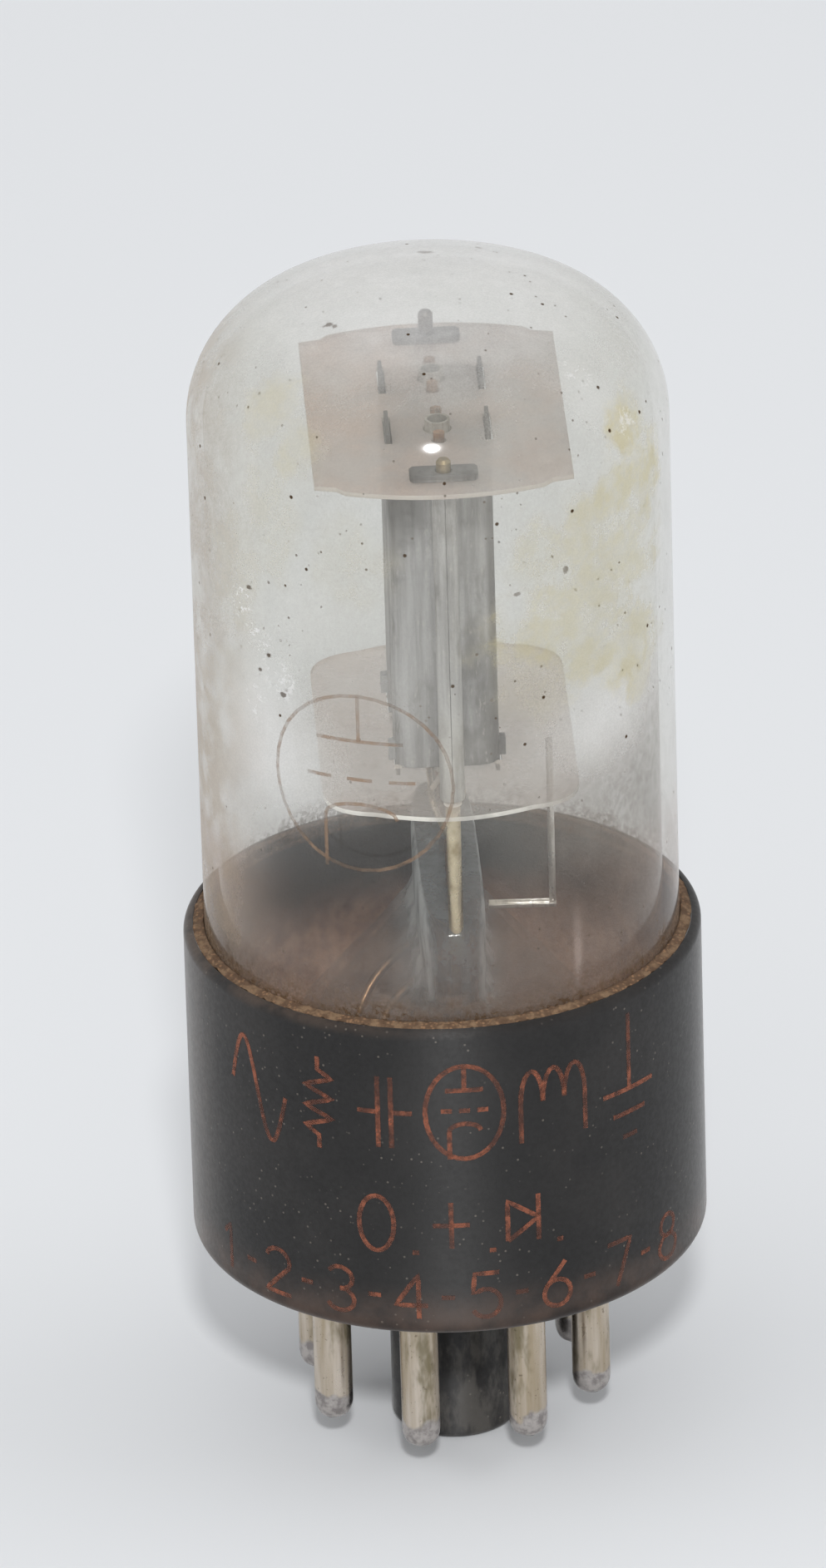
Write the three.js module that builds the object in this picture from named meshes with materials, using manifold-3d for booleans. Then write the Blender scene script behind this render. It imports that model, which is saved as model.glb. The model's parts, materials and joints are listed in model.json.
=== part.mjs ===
// Octal-based glass dual triode: a clear tubular bulb on a black moulded eight-pin base.
// Millimetres, +Z up. The origin is the middle of the locating spigot's end, on which the tube stands.
// The two triode units stand one behind the other along Y, so the cage is seen edge-on from -Y.

import * as THREE from 'three';
import * as BufferGeometryUtils from 'three/addons/utils/BufferGeometryUtils.js';
import Module from 'manifold-3d';

const wasm = await Module();
wasm.setup();

// ---------------------------------------------------------------- driving dimensions

// base
const BASE_R = 15.85;
const SEAT_Z = 13.63;
const RIM_Z = 34.5;
const RIM_BEVEL = 0.5;
const MOUTH_CHAMFER_R = 0.4;
const MOUTH_CHAMFER_Z = 0.8;
const HEEL_BEVEL = 0.9;
const BORE_R = 14.9;
const LEDGE_Z = 19;
const LEDGE_R = 13;
const FLOOR_Z = 16.2;
const SPIGOT_R = 3.94;
const SPIGOT_BORE_R = 2.75;
const SPIGOT_BEVEL = 0.5;
const SPIGOT_FLOOR_Z = 1.5;
const CEMENT_TOP_Z = 34.45;
const KEY_WIDTH = 2.2;
const KEY_REACH_R = 5.2;
const KEY_START_Z = 0.6;
const BASE_TURN = THREE.MathUtils.degToRad(8);

// pins
const PIN_COUNT = 8;
const PIN_CIRCLE_R = 17.45 / 2;
const PIN_R = 1.18;
const PIN_BORE_R = 0.86;
const PIN_TIP_Z = SEAT_Z - 11.15;
const PIN_COLLAR_R = 1.5;
const PIN_COLLAR_H = 0.35;
const PIN_TIP_HOLE_R = 0.6;
const PIN_TIP_ROUND_Z = 0.85;
const PIN_TIP_WALL_Z = 0.3;
const SOLDER_BELOW_TIP = 0.23;
const PIN_FIT = 0.05;

// bulb
const BULB_R = 14.55;
const GLASS_T = 1;
const SHOULDER_Z = 68.18;
const SHOULDER_R = 7.82;
const APEX_Z = 77.5;
const TUCK_Z = 27;
const BULB_END_Z = 20.5;
const BULB_END_R = 11;

// stem
const STEM_R = 9.3;
const PRESS_TOP_Z = 38.9;
const PRESS_HALF_LENGTH = 10.6;
const PRESS_HALF_THICKNESS = 2;
const PINCH_START_Z = 27;
const PINCH_END_Z = 33.5;
const EXHAUST_R = 1.9;
const EXHAUST_BORE_R = 1.1;
const EXHAUST_TOP_Z = 31;
const EXHAUST_TIP_Z = 4.4;
const FLARE_R = BULB_END_R - 0.1;
const FLARE_TOP_Z = 21.5;
const FLARE_START_Z = 24.4;
const STEM_ROOF_Z = 32.6;

// cage: turned and set a little off the bulb's axis
const CAGE_TURN = THREE.MathUtils.degToRad(2.3);
const CAGE_OFFSET_X = 0.43;
const MICA_T = 0.3;
const TOP_MICA_Z = 68.35;
const BOTTOM_MICA_Z = 46.95;
const MICA_HALF_WIDTH = 7.75;
const MICA_CORNER_Y = 10.3;
const MICA_END_Y = 12.35;

// triode units
const UNITS = [
  { name: 'front', centreY: -2.9, outward: -1, rodTopZ: 69.9 },
  { name: 'rear', centreY: 4.3, outward: 1, rodTopZ: 70.6 },
];
const SHEET_T = 0.25;
const ANODE_HALF_WIDTH = 3.15;
const ANODE_HALF_DEPTH = 2.75;
const ANODE_CORNER_R = 1.3;
const ANODE_BOTTOM_Z = 47.35;
const ANODE_TOP_Z = 68.25;
const ROD_Y = 9.9;
const ROD_R = 0.45;
const ROD_BOTTOM_Z = 36.9;
const CLIP_LENGTH = 4.1;
const CLIP_WIDTH = 1.5;
const CLIP_T = 0.45;
const EAR_LENGTH = 3.6;
const EAR_RISE = 0.5;
const EAR_ROOT = 1;
const FOOT = { width: 0.6, length: 0.8, height: 1.1 };
const SEAM_FLANGE = 0.6;
const CATHODE_R = 0.75;
const CATHODE_BORE_R = 0.6;
const CATHODE_BOTTOM_Z = 45.9;
const CATHODE_TOP_Z = 69.3;
const GRID_ROD_R = 0.35;
const GRID_ROD_Y = 1.7;
const GRID_ROD_BOTTOM_Z = 45.5;
const GRID_ROD_TOP_Z = 69.2;
const GRID_HALF_X = 1.3;
const GRID_WIRE_R = 0.1;
const GRID_BOTTOM_Z = 48.4;
const GRID_TOP_Z = 67.6;
const GRID_PITCH = 1.6;
const HEATER_R = 0.17;
const HEATER_LEG_X = 0.27;
const HEATER_FOOT_X = 0.95;
const HEATER_FOOT_Z = 44.5;
const HEATER_TOP_Z = 67;
const WIRE_R = 0.2;
const LEAD_R = 0.3;
const LEAD_TOP_Z = 41;
const STRAP_TOP_Z = 46.3;
const ANODE_STRAP_TOP_Z = 44.2;
const BUS_Z = 44.05;
const CLEARANCE = 0.05;

// getter: a channel on a wire that hangs from the bottom mica, in the cage's frame
const GETTER_X = 6.3;
const GETTER_Y = -1.5;
const GETTER_Z = 35.6;
const GETTER_WIRE_R = 0.22;
const TRAY_START_X = 2.4;
const TRAY_END_X = 6.5;
const TRAY_WIDTH = 0.8;
const TRAY_HEIGHT = 0.3;

// sides of the turned pieces that nest in each other
const ROUND_SIDES = 36;

// ---------------------------------------------------------------- materials

function material(color, roughness, metalness) {
  return new THREE.MeshStandardMaterial({ color, roughness, metalness });
}

const LOOKS = {
  glass: material(0xdfe5e3, 0.1, 0),
  bakelite: material(0x2e2b29, 0.55, 0),
  cement: material(0x7a5f45, 0.9, 0),
  pin: material(0xa39a84, 0.35, 1),
  solder: material(0x8d8b88, 0.5, 1),
  mica: material(0xb9aea6, 0.45, 0),
  anode: material(0x6f7174, 0.6, 0.8),
  nickel: material(0xb5a88c, 0.35, 1),
  cathode: material(0xc9c4ba, 0.6, 0.4),
  heater: material(0xe8e4da, 0.8, 0),
  lead: material(0xa8794f, 0.4, 1),
};

// ---------------------------------------------------------------- geometry helpers

function clean(geometry) {
  const bare = geometry.clone();
  bare.deleteAttribute('normal');
  bare.deleteAttribute('uv');
  return BufferGeometryUtils.mergeVertices(bare, 1e-5);
}

function toSolid(geometry) {
  const merged = clean(geometry);
  const mesh = new wasm.Mesh({
    numProp: 3,
    vertProperties: new Float32Array(merged.attributes.position.array),
    triVerts: new Uint32Array(merged.index.array),
  });
  return new wasm.Manifold(mesh);
}

function toGeometry(solid) {
  const mesh = solid.getMesh();
  const geometry = new THREE.BufferGeometry();
  geometry.setAttribute('position', new THREE.BufferAttribute(mesh.vertProperties, 3));
  geometry.setIndex(new THREE.BufferAttribute(mesh.triVerts, 1));
  geometry.computeVertexNormals();
  return geometry;
}

function join(geometries) {
  return toGeometry(geometries.map(toSolid).reduce((whole, piece) => whole.add(piece)));
}

function cut(geometry, tools) {
  const solids = tools.map(toSolid);
  return toGeometry(solids.reduce((whole, tool) => whole.subtract(tool), toSolid(geometry)));
}

function box(sizeX, sizeY, sizeZ, x, y, z) {
  return new THREE.BoxGeometry(sizeX, sizeY, sizeZ).translate(x, y, z);
}

function rod(radius, bottomZ, topZ, x, y, sides) {
  const geometry = new THREE.CylinderGeometry(radius, radius, topZ - bottomZ, sides);
  geometry.rotateX(Math.PI / 2);
  return geometry.translate(x, y, (bottomZ + topZ) / 2);
}

// Turns a profile of [radius, z] points about Z. The outside is listed from the top down.
function turned(profile, sides) {
  const points = profile.map(([radius, z]) => new THREE.Vector2(radius, z)).reverse();
  const geometry = new THREE.LatheGeometry(points, sides);
  return geometry.rotateX(Math.PI / 2);
}

function closedProfile(profile) {
  return [...profile, profile[0]];
}

// Points of an elliptical arc from angle `from` to angle `to`, both measured from the radius axis.
function arc(centreR, centreZ, radiusR, radiusZ, from, to, steps) {
  const points = [];
  for (let i = 0; i <= steps; i += 1) {
    const angle = THREE.MathUtils.degToRad(from + ((to - from) * i) / steps);
    points.push([centreR + radiusR * Math.cos(angle), centreZ + radiusZ * Math.sin(angle)]);
  }
  return points;
}

function extruded(shape, bottomZ, topZ, curveSegments) {
  const options = { depth: topZ - bottomZ, bevelEnabled: false, curveSegments };
  return new THREE.ExtrudeGeometry(shape, options).translate(0, 0, bottomZ);
}

function circleShape(radius, sides) {
  const points = [];
  for (let i = 0; i < sides; i += 1) {
    const angle = (2 * Math.PI * i) / sides;
    points.push(new THREE.Vector2(radius * Math.cos(angle), radius * Math.sin(angle)));
  }
  return new THREE.Shape(points);
}

function wireAlong(curve, radius, sides, steps) {
  return new THREE.ExtrudeGeometry(circleShape(radius, sides), { steps, extrudePath: curve });
}

function wire(points, radius, steps = 10, sides = 5) {
  const path = points.map(([x, y, z]) => new THREE.Vector3(x, y, z));
  return wireAlong(new THREE.CatmullRomCurve3(path, false, 'centripetal'), radius, sides, steps);
}

// A point given in the cage's own turned frame, in the frame of the whole tube.
function fromCage(x, y, z) {
  const point = new THREE.Vector3(x, y, z).applyAxisAngle(new THREE.Vector3(0, 0, 1), CAGE_TURN);
  point.x += CAGE_OFFSET_X;
  return point;
}

// ---------------------------------------------------------------- assembly

const tube = new THREE.Group();
const cage = new THREE.Group();
cage.rotation.z = CAGE_TURN;
cage.position.x = CAGE_OFFSET_X;
tube.add(cage);

function add(parent, name, geometry, look) {
  const mesh = new THREE.Mesh(geometry, LOOKS[look].clone());
  mesh.name = name;
  parent.add(mesh);
  return mesh;
}

// ---------------------------------------------------------------- base

function pinPosition(number) {
  // numbered from the key, which is at the back
  const angle = BASE_TURN + Math.PI + (2 * Math.PI * (number - 0.5)) / PIN_COUNT;
  return { x: PIN_CIRCLE_R * Math.sin(angle), y: -PIN_CIRCLE_R * Math.cos(angle) };
}

const PIN_NUMBERS = Array.from({ length: PIN_COUNT }, (_, i) => i + 1);

function octalBase() {
  const cup = turned([
    [0, SPIGOT_FLOOR_Z],
    [SPIGOT_BORE_R, SPIGOT_FLOOR_Z],
    [SPIGOT_BORE_R, FLOOR_Z],
    [LEDGE_R, FLOOR_Z],
    [LEDGE_R, LEDGE_Z],
    [BORE_R, LEDGE_Z],
    [BORE_R, RIM_Z - MOUTH_CHAMFER_Z],
    [BORE_R + MOUTH_CHAMFER_R, RIM_Z],
    ...arc(BASE_R - RIM_BEVEL, RIM_Z - RIM_BEVEL, RIM_BEVEL, RIM_BEVEL, 90, 0, 3),
    ...arc(BASE_R - HEEL_BEVEL, SEAT_Z + HEEL_BEVEL, HEEL_BEVEL, HEEL_BEVEL, 0, -90, 3),
    [SPIGOT_R, SEAT_Z],
    [SPIGOT_R, SPIGOT_BEVEL],
    [SPIGOT_R - SPIGOT_BEVEL, 0],
    [0, 0],
  ], ROUND_SIDES);
  const keyHeight = SEAT_Z + 0.5 - KEY_START_Z;
  const keyReach = KEY_REACH_R - SPIGOT_BORE_R - 0.3;
  const keyZ = KEY_START_Z + keyHeight / 2;
  const key = box(KEY_WIDTH, keyReach, keyHeight, 0, KEY_REACH_R - keyReach / 2, keyZ);
  key.rotateZ(BASE_TURN);
  const holes = PIN_NUMBERS.map((number) => {
    const { x, y } = pinPosition(number);
    return rod(PIN_R + PIN_FIT, SEAT_Z - 1, FLOOR_Z + 1, x, y, 12);
  });
  return cut(join([cup, key]), holes);
}

function pin() {
  const collarZ = FLOOR_Z + PIN_FIT;
  const topZ = collarZ + PIN_COLLAR_H;
  return turned(closedProfile([
    [PIN_BORE_R, topZ],
    [PIN_COLLAR_R, topZ],
    [PIN_COLLAR_R, collarZ],
    [PIN_R, collarZ],
    [PIN_R, PIN_TIP_Z + PIN_TIP_ROUND_Z],
    [PIN_R * 0.84, PIN_TIP_Z + PIN_TIP_ROUND_Z * 0.35],
    [PIN_TIP_HOLE_R, PIN_TIP_Z],
    [PIN_TIP_HOLE_R, PIN_TIP_Z + PIN_TIP_WALL_Z],
    [PIN_BORE_R, PIN_TIP_Z + PIN_TIP_ROUND_Z + 0.1],
  ]), 10);
}

function solderTip() {
  const radius = PIN_TIP_HOLE_R - PIN_FIT;
  return turned([
    [0, PIN_TIP_Z + PIN_TIP_ROUND_Z],
    [radius, PIN_TIP_Z + PIN_TIP_ROUND_Z - 0.05],
    [radius, PIN_TIP_Z],
    [radius * 0.7, PIN_TIP_Z - SOLDER_BELOW_TIP * 0.75],
    [0, PIN_TIP_Z - SOLDER_BELOW_TIP],
  ], 8);
}

add(tube, 'octal_base', octalBase(), 'bakelite');
for (const number of PIN_NUMBERS) {
  const { x, y } = pinPosition(number);
  add(tube, `pin_${number}`, pin(), 'pin').position.set(x, y, 0);
  add(tube, `solder_tip_${number}`, solderTip(), 'solder').position.set(x, y, 0);
}

// ---------------------------------------------------------------- glass and cement

const CROWN_R = (() => {
  // the crown sphere is tangent to the shoulder's round and reaches the apex
  const run = BULB_R - SHOULDER_R;
  const rise = APEX_Z - SHOULDER_Z;
  return (run * run + rise * rise - SHOULDER_R * SHOULDER_R) / (2 * (rise - SHOULDER_R));
})();

function bulbWall(inset) {
  // outer or inner surface from the apex down to the rolled-in end
  const crownZ = APEX_Z - CROWN_R;
  const meet = THREE.MathUtils.radToDeg(Math.atan2(SHOULDER_Z - crownZ, BULB_R - SHOULDER_R));
  const crown = arc(0, crownZ, CROWN_R - inset, CROWN_R - inset, 90, meet, 3);
  const shoulderR = SHOULDER_R - inset;
  const shoulder = arc(BULB_R - SHOULDER_R, SHOULDER_Z, shoulderR, shoulderR, meet, 0, 5);
  const rollR = BULB_R - BULB_END_R - inset;
  const rollZ = TUCK_Z - BULB_END_Z - inset;
  crown[0][0] = 0;
  return [...crown, ...shoulder.slice(1), ...arc(BULB_END_R, TUCK_Z, rollR, rollZ, 0, -90, 4)];
}

function glassBulb() {
  return turned([...bulbWall(0), ...bulbWall(GLASS_T).reverse()], ROUND_SIDES);
}

function basingCement() {
  // fills the ring between the base's bore and the bulb's lower end, and the chamfered mouth
  const roll = arc(BULB_END_R, TUCK_Z, BULB_R - BULB_END_R, TUCK_Z - BULB_END_Z, 0, -52, 4);
  const inside = roll.map(([radius, z]) => [radius + CLEARANCE, z - CLEARANCE]);
  const mouthR = BORE_R + MOUTH_CHAMFER_R - 2 * CLEARANCE;
  return turned(closedProfile([
    [BULB_R + CLEARANCE, CEMENT_TOP_Z],
    [mouthR, CEMENT_TOP_Z - CLEARANCE],
    [BORE_R - CLEARANCE, RIM_Z - MOUTH_CHAMFER_Z],
    [BORE_R - CLEARANCE, LEDGE_Z + CLEARANCE],
    [LEDGE_R + CLEARANCE, LEDGE_Z + CLEARANCE],
    ...inside.reverse(),
  ]), ROUND_SIDES);
}

// Flattens the round stem tube into the press towards its top.
function pinch(geometry) {
  const position = geometry.attributes.position;
  const flat = PRESS_HALF_THICKNESS / PRESS_HALF_LENGTH;
  const axis = new THREE.Vector3(0, 0, 1);
  for (let i = 0; i < position.count; i += 1) {
    const point = new THREE.Vector3().fromBufferAttribute(position, i);
    const blend = THREE.MathUtils.smoothstep(point.z, PINCH_START_Z, PINCH_END_Z);
    const radius = Math.hypot(point.x, point.y);
    if (radius > 1e-6) {
      const power = 1 - 0.5 * blend;
      const across = point.x / radius;
      const along = point.y / radius;
      point.x = radius * (1 + (flat - 1) * blend) * Math.sign(across) * Math.abs(across) ** power;
      point.y = radius * Math.sign(along) * Math.abs(along) ** power;
    }
    point.applyAxisAngle(axis, CAGE_TURN * blend);
    position.setXYZ(i, point.x + CAGE_OFFSET_X * blend, point.y, point.z);
  }
  return geometry;
}

const LEADS = [
  { pin: 5, pressY: -8 },
  { pin: 4, pressY: -6.3 },
  { pin: 6, pressY: -4.6 },
  { pin: 7, pressY: -2.9, bend: [3.8, -1.4, 27] },
  { pin: 3, pressY: 2.9, bend: [-3.6, 1.6, 27] },
  { pin: 8, pressY: 4.6 },
  { pin: 1, pressY: 6.3 },
  { pin: 2, pressY: 8, bend: [-4.6, 6.1, 26.5] },
];

function stem() {
  const innerR = STEM_R - GLASS_T;
  const body = pinch(turned([
    [0, PRESS_TOP_Z],
    [PRESS_HALF_LENGTH - 1.2, PRESS_TOP_Z],
    [PRESS_HALF_LENGTH - 0.3, PRESS_TOP_Z - 0.4],
    [PRESS_HALF_LENGTH, PRESS_TOP_Z - 1.2],
    [PRESS_HALF_LENGTH, PINCH_END_Z + 2.1],
    [PRESS_HALF_LENGTH - 0.1, PINCH_END_Z],
    [STEM_R + 0.8, PINCH_END_Z - 1.9],
    [STEM_R + 0.3, PINCH_START_Z + 3],
    [STEM_R, PINCH_START_Z + 1.4],
    [STEM_R, FLARE_START_Z],
    [STEM_R + 0.4, FLARE_START_Z - 1.8],
    [FLARE_R, FLARE_TOP_Z],
    [FLARE_R, BULB_END_Z],
    [STEM_R + 0.4, BULB_END_Z],
    [innerR, FLARE_START_Z - 1.8],
    [innerR, PINCH_START_Z + 1.4],
    [innerR + 0.6, STEM_ROOF_Z - 1.6],
    [innerR + 0.8, STEM_ROOF_Z - 0.2],
    [0, STEM_ROOF_Z],
  ], 28));
  const holes = LEADS.map(({ pressY }) => {
    const { x, y } = fromCage(0, pressY, 0);
    return rod(LEAD_R + 2 * CLEARANCE, STEM_ROOF_Z - 1.1, PRESS_TOP_Z + 1, x, y, 8);
  });
  const sockets = [-ROD_Y, ROD_Y].map((rodY) => {
    const { x, y } = fromCage(0, rodY, 0);
    return rod(ROD_R + CLEARANCE, ROD_BOTTOM_Z - 0.1, PRESS_TOP_Z + 1, x, y, 10);
  });
  return cut(body, [...holes, ...sockets]);
}

function exhaustTube() {
  return turned([
    [0, EXHAUST_TIP_Z + 2.4],
    [EXHAUST_BORE_R, EXHAUST_TIP_Z + 3.2],
    [EXHAUST_BORE_R, EXHAUST_TOP_Z],
    [EXHAUST_R, EXHAUST_TOP_Z],
    [EXHAUST_R, EXHAUST_TIP_Z + 2.2],
    [EXHAUST_R * 0.6, EXHAUST_TIP_Z + 0.6],
    [0, EXHAUST_TIP_Z],
  ], 14);
}

function leadWire({ pin: number, pressY, bend }) {
  const top = fromCage(0, pressY, 0);
  const foot = pinPosition(number);
  const spread = bend ?? [
    THREE.MathUtils.lerp(top.x, foot.x * 0.8, 0.5),
    THREE.MathUtils.lerp(top.y, foot.y * 0.7, 0.5),
    26,
  ];
  const gather = 0.8;
  return wire([
    [top.x, top.y, LEAD_TOP_Z],
    [top.x, top.y, 37],
    [top.x, top.y, 33],
    [top.x, top.y, 31.2],
    spread,
    [foot.x * gather, foot.y * gather, 20.5],
    [foot.x, foot.y, FLOOR_Z + 1.2],
    [foot.x, foot.y, 12],
    [foot.x, foot.y, PIN_TIP_Z + 1.1],
  ], LEAD_R, 20);
}

add(tube, 'glass_bulb', glassBulb(), 'glass');
add(tube, 'basing_cement', basingCement(), 'cement');
add(tube, 'stem', stem(), 'glass');
add(tube, 'exhaust_tube', exhaustTube(), 'glass');
for (const lead of LEADS) {
  add(tube, `lead_${lead.pin}`, leadWire(lead), 'lead');
}

// ---------------------------------------------------------------- micas

function slot(centreX, centreY, sizeX, sizeY) {
  const hole = new THREE.Path();
  hole.moveTo(centreX - sizeX / 2, centreY - sizeY / 2);
  hole.lineTo(centreX + sizeX / 2, centreY - sizeY / 2);
  hole.lineTo(centreX + sizeX / 2, centreY + sizeY / 2);
  hole.lineTo(centreX - sizeX / 2, centreY + sizeY / 2);
  return hole;
}

function roundHole(x, y, radius) {
  const hole = new THREE.Path();
  hole.absarc(x, y, radius, 0, 2 * Math.PI, true);
  return hole;
}

function punch(shape) {
  const gap = 2 * CLEARANCE;
  for (const { centreY, outward } of UNITS) {
    shape.holes.push(roundHole(0, outward * ROD_Y, ROD_R + gap));
    shape.holes.push(roundHole(0, centreY, CATHODE_R + gap));
    for (const side of [-1, 1]) {
      const earX = side * (ANODE_HALF_WIDTH - SHEET_T / 2);
      shape.holes.push(slot(earX, centreY, SHEET_T + 2 * gap, EAR_LENGTH + 2 * gap));
      shape.holes.push(roundHole(0, centreY + side * GRID_ROD_Y, GRID_ROD_R + gap));
    }
  }
  return shape;
}

// The outline steps in at the corners and bows out to a middle that meets the bulb's wall.
function topMica() {
  const halfWidth = MICA_HALF_WIDTH;
  const lobe = halfWidth - 1.8;
  const outline = new THREE.Shape();
  outline.moveTo(halfWidth, -MICA_CORNER_Y);
  outline.lineTo(halfWidth, MICA_CORNER_Y);
  outline.lineTo(lobe + 0.5, MICA_CORNER_Y + 0.35);
  outline.lineTo(lobe, MICA_CORNER_Y + 0.95);
  outline.quadraticCurveTo(lobe / 2, MICA_END_Y, 0, MICA_END_Y);
  outline.quadraticCurveTo(-lobe / 2, MICA_END_Y, -lobe, MICA_CORNER_Y + 0.95);
  outline.lineTo(-lobe - 0.5, MICA_CORNER_Y + 0.35);
  outline.lineTo(-halfWidth, MICA_CORNER_Y);
  outline.lineTo(-halfWidth, -MICA_CORNER_Y);
  outline.lineTo(-lobe - 0.5, -MICA_CORNER_Y - 0.35);
  outline.lineTo(-lobe, -MICA_CORNER_Y - 0.95);
  outline.quadraticCurveTo(-lobe / 2, -MICA_END_Y, 0, -MICA_END_Y);
  outline.quadraticCurveTo(lobe / 2, -MICA_END_Y, lobe, -MICA_CORNER_Y - 0.95);
  outline.lineTo(lobe + 0.5, -MICA_CORNER_Y - 0.35);
  return extruded(punch(outline), TOP_MICA_Z, TOP_MICA_Z + MICA_T, 5);
}

function bottomMica() {
  const halfWidth = MICA_HALF_WIDTH;
  const cornerY = MICA_CORNER_Y - 2.3;
  const outline = new THREE.Shape();
  outline.moveTo(halfWidth, -cornerY);
  outline.lineTo(halfWidth, cornerY);
  outline.quadraticCurveTo(halfWidth, MICA_CORNER_Y + 0.4, halfWidth - 3, MICA_CORNER_Y + 0.9);
  outline.quadraticCurveTo(2, MICA_END_Y, 0, MICA_END_Y);
  outline.quadraticCurveTo(-2, MICA_END_Y, 3 - halfWidth, MICA_CORNER_Y + 0.9);
  outline.quadraticCurveTo(-halfWidth, MICA_CORNER_Y + 0.4, -halfWidth, cornerY);
  outline.lineTo(-halfWidth, -cornerY);
  outline.quadraticCurveTo(-halfWidth, -MICA_CORNER_Y - 0.4, 3 - halfWidth, -MICA_CORNER_Y - 0.9);
  outline.quadraticCurveTo(-2, -MICA_END_Y, 0, -MICA_END_Y);
  outline.quadraticCurveTo(2, -MICA_END_Y, halfWidth - 3, -MICA_CORNER_Y - 0.9);
  outline.quadraticCurveTo(halfWidth, -MICA_CORNER_Y - 0.4, halfWidth, -cornerY);
  return extruded(punch(outline), BOTTOM_MICA_Z, BOTTOM_MICA_Z + MICA_T, 5);
}

add(cage, 'top_mica', topMica(), 'mica');
add(cage, 'bottom_mica', bottomMica(), 'mica');

// ---------------------------------------------------------------- triode units

// Outline of a bent sheet: the path moved half the sheet's thickness to each side.
function sheetOutline(path, thickness) {
  const left = [];
  const right = [];
  path.forEach((point, i) => {
    const before = path[Math.max(i - 1, 0)];
    const after = path[Math.min(i + 1, path.length - 1)];
    const along = after.clone().sub(before).normalize();
    const across = new THREE.Vector2(-along.y, along.x).multiplyScalar(thickness / 2);
    left.push(point.clone().add(across));
    right.push(point.clone().sub(across));
  });
  return new THREE.Shape([...left, ...right.reverse()]);
}

// One stamped half of an anode, for the side x > 0 and a unit whose outside faces -Y:
// a narrow flange, half of the box round the grid, a long flange and half of the crimp on the rod.
function anodeHalfPath(unit) {
  const seamX = SHEET_T / 2 + CLEARANCE / 2;
  const sideX = ANODE_HALF_WIDTH - SHEET_T / 2;
  const outerReach = ROD_Y - unit.outward * unit.centreY;
  const endY = ANODE_HALF_DEPTH - SHEET_T / 2;
  const crimpR = ROD_R + CLEARANCE + SHEET_T / 2;
  const path = new THREE.Path();
  path.moveTo(seamX, endY + SEAM_FLANGE);
  path.lineTo(seamX, endY + 0.2);
  path.quadraticCurveTo(seamX, endY, seamX + 0.25, endY);
  path.lineTo(sideX - ANODE_CORNER_R, endY);
  path.quadraticCurveTo(sideX, endY, sideX, endY - ANODE_CORNER_R);
  path.lineTo(sideX, ANODE_CORNER_R - endY);
  path.quadraticCurveTo(sideX, -endY, sideX - ANODE_CORNER_R, -endY);
  path.lineTo(seamX + 0.25, -endY);
  path.quadraticCurveTo(seamX, -endY, seamX, -endY - 0.25);
  const start = Math.PI / 2 - Math.asin(seamX / crimpR);
  path.absarc(0, -outerReach, crimpR, start, -start, true);
  return path.getPoints(5);
}

function anodeHalf(unit, side) {
  const path = anodeHalfPath(unit).map((point) => (
    new THREE.Vector2(side * point.x, unit.centreY - unit.outward * point.y)
  ));
  const distinct = path.filter((point, i) => i === 0 || point.distanceTo(path[i - 1]) > 1e-4);
  const wall = extruded(sheetOutline(distinct, SHEET_T), ANODE_BOTTOM_Z, ANODE_TOP_Z, 1);
  const earX = side * (ANODE_HALF_WIDTH - SHEET_T / 2);
  const ears = [
    [ANODE_TOP_Z - EAR_ROOT, TOP_MICA_Z + MICA_T + EAR_RISE],
    [BOTTOM_MICA_Z - EAR_RISE, ANODE_BOTTOM_Z + EAR_ROOT],
  ].map(([low, high]) => box(SHEET_T * 0.98, EAR_LENGTH, high - low, earX, unit.centreY, (low + high) / 2));
  const footY = unit.centreY + unit.outward * (ANODE_HALF_DEPTH - ANODE_CORNER_R - 0.4);
  const footX = side * (ANODE_HALF_WIDTH + 0.1);
  const footZ = ANODE_BOTTOM_Z + FOOT.height / 2 + 0.02;
  const foot = box(FOOT.width, FOOT.length, FOOT.height, footX, footY, footZ);
  return join([wall, ...ears, foot]);
}

function anodeRod(unit) {
  return rod(ROD_R, ROD_BOTTOM_Z, unit.rodTopZ, 0, unit.outward * ROD_Y, 12);
}

// Flat lock plate that holds the mica down on the rod.
function rodClip(unit) {
  const bottomZ = TOP_MICA_Z + MICA_T + CLEARANCE;
  const plate = slot(0, unit.outward * ROD_Y, CLIP_LENGTH, CLIP_WIDTH);
  const shape = new THREE.Shape(plate.getPoints());
  shape.holes.push(roundHole(0, unit.outward * ROD_Y, ROD_R + CLEARANCE));
  return extruded(shape, bottomZ, bottomZ + CLIP_T, 5);
}

function cathode(unit) {
  const ring = circleShape(CATHODE_R, 12);
  ring.holes.push(new THREE.Path(circleShape(CATHODE_BORE_R, 12).getPoints().reverse()));
  return extruded(ring, CATHODE_BOTTOM_Z, CATHODE_TOP_Z, 1).translate(0, unit.centreY, 0);
}

// One folded wire, up one side of the cathode sleeve and down the other.
function heater(unit) {
  const y = unit.centreY;
  return wire([
    [-HEATER_FOOT_X, y, HEATER_FOOT_Z],
    [-HEATER_LEG_X, y, HEATER_FOOT_Z + 1.2],
    [-HEATER_LEG_X, y, 56],
    [-HEATER_LEG_X, y, HEATER_TOP_Z - 0.5],
    [0, y, HEATER_TOP_Z],
    [HEATER_LEG_X, y, HEATER_TOP_Z - 0.5],
    [HEATER_LEG_X, y, 56],
    [HEATER_LEG_X, y, HEATER_FOOT_Z + 1.2],
    [HEATER_FOOT_X, y, HEATER_FOOT_Z],
  ], HEATER_R, 26, 4);
}

class OvalHelix extends THREE.Curve {
  constructor(halfX, halfY, bottomZ, topZ, pitch) {
    super();
    Object.assign(this, { halfX, halfY, bottomZ, topZ, pitch });
  }

  getPoint(t) {
    const z = THREE.MathUtils.lerp(this.bottomZ, this.topZ, t);
    const angle = (2 * Math.PI * (z - this.bottomZ)) / this.pitch;
    return new THREE.Vector3(this.halfX * Math.cos(angle), this.halfY * Math.sin(angle), z);
  }
}

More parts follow.
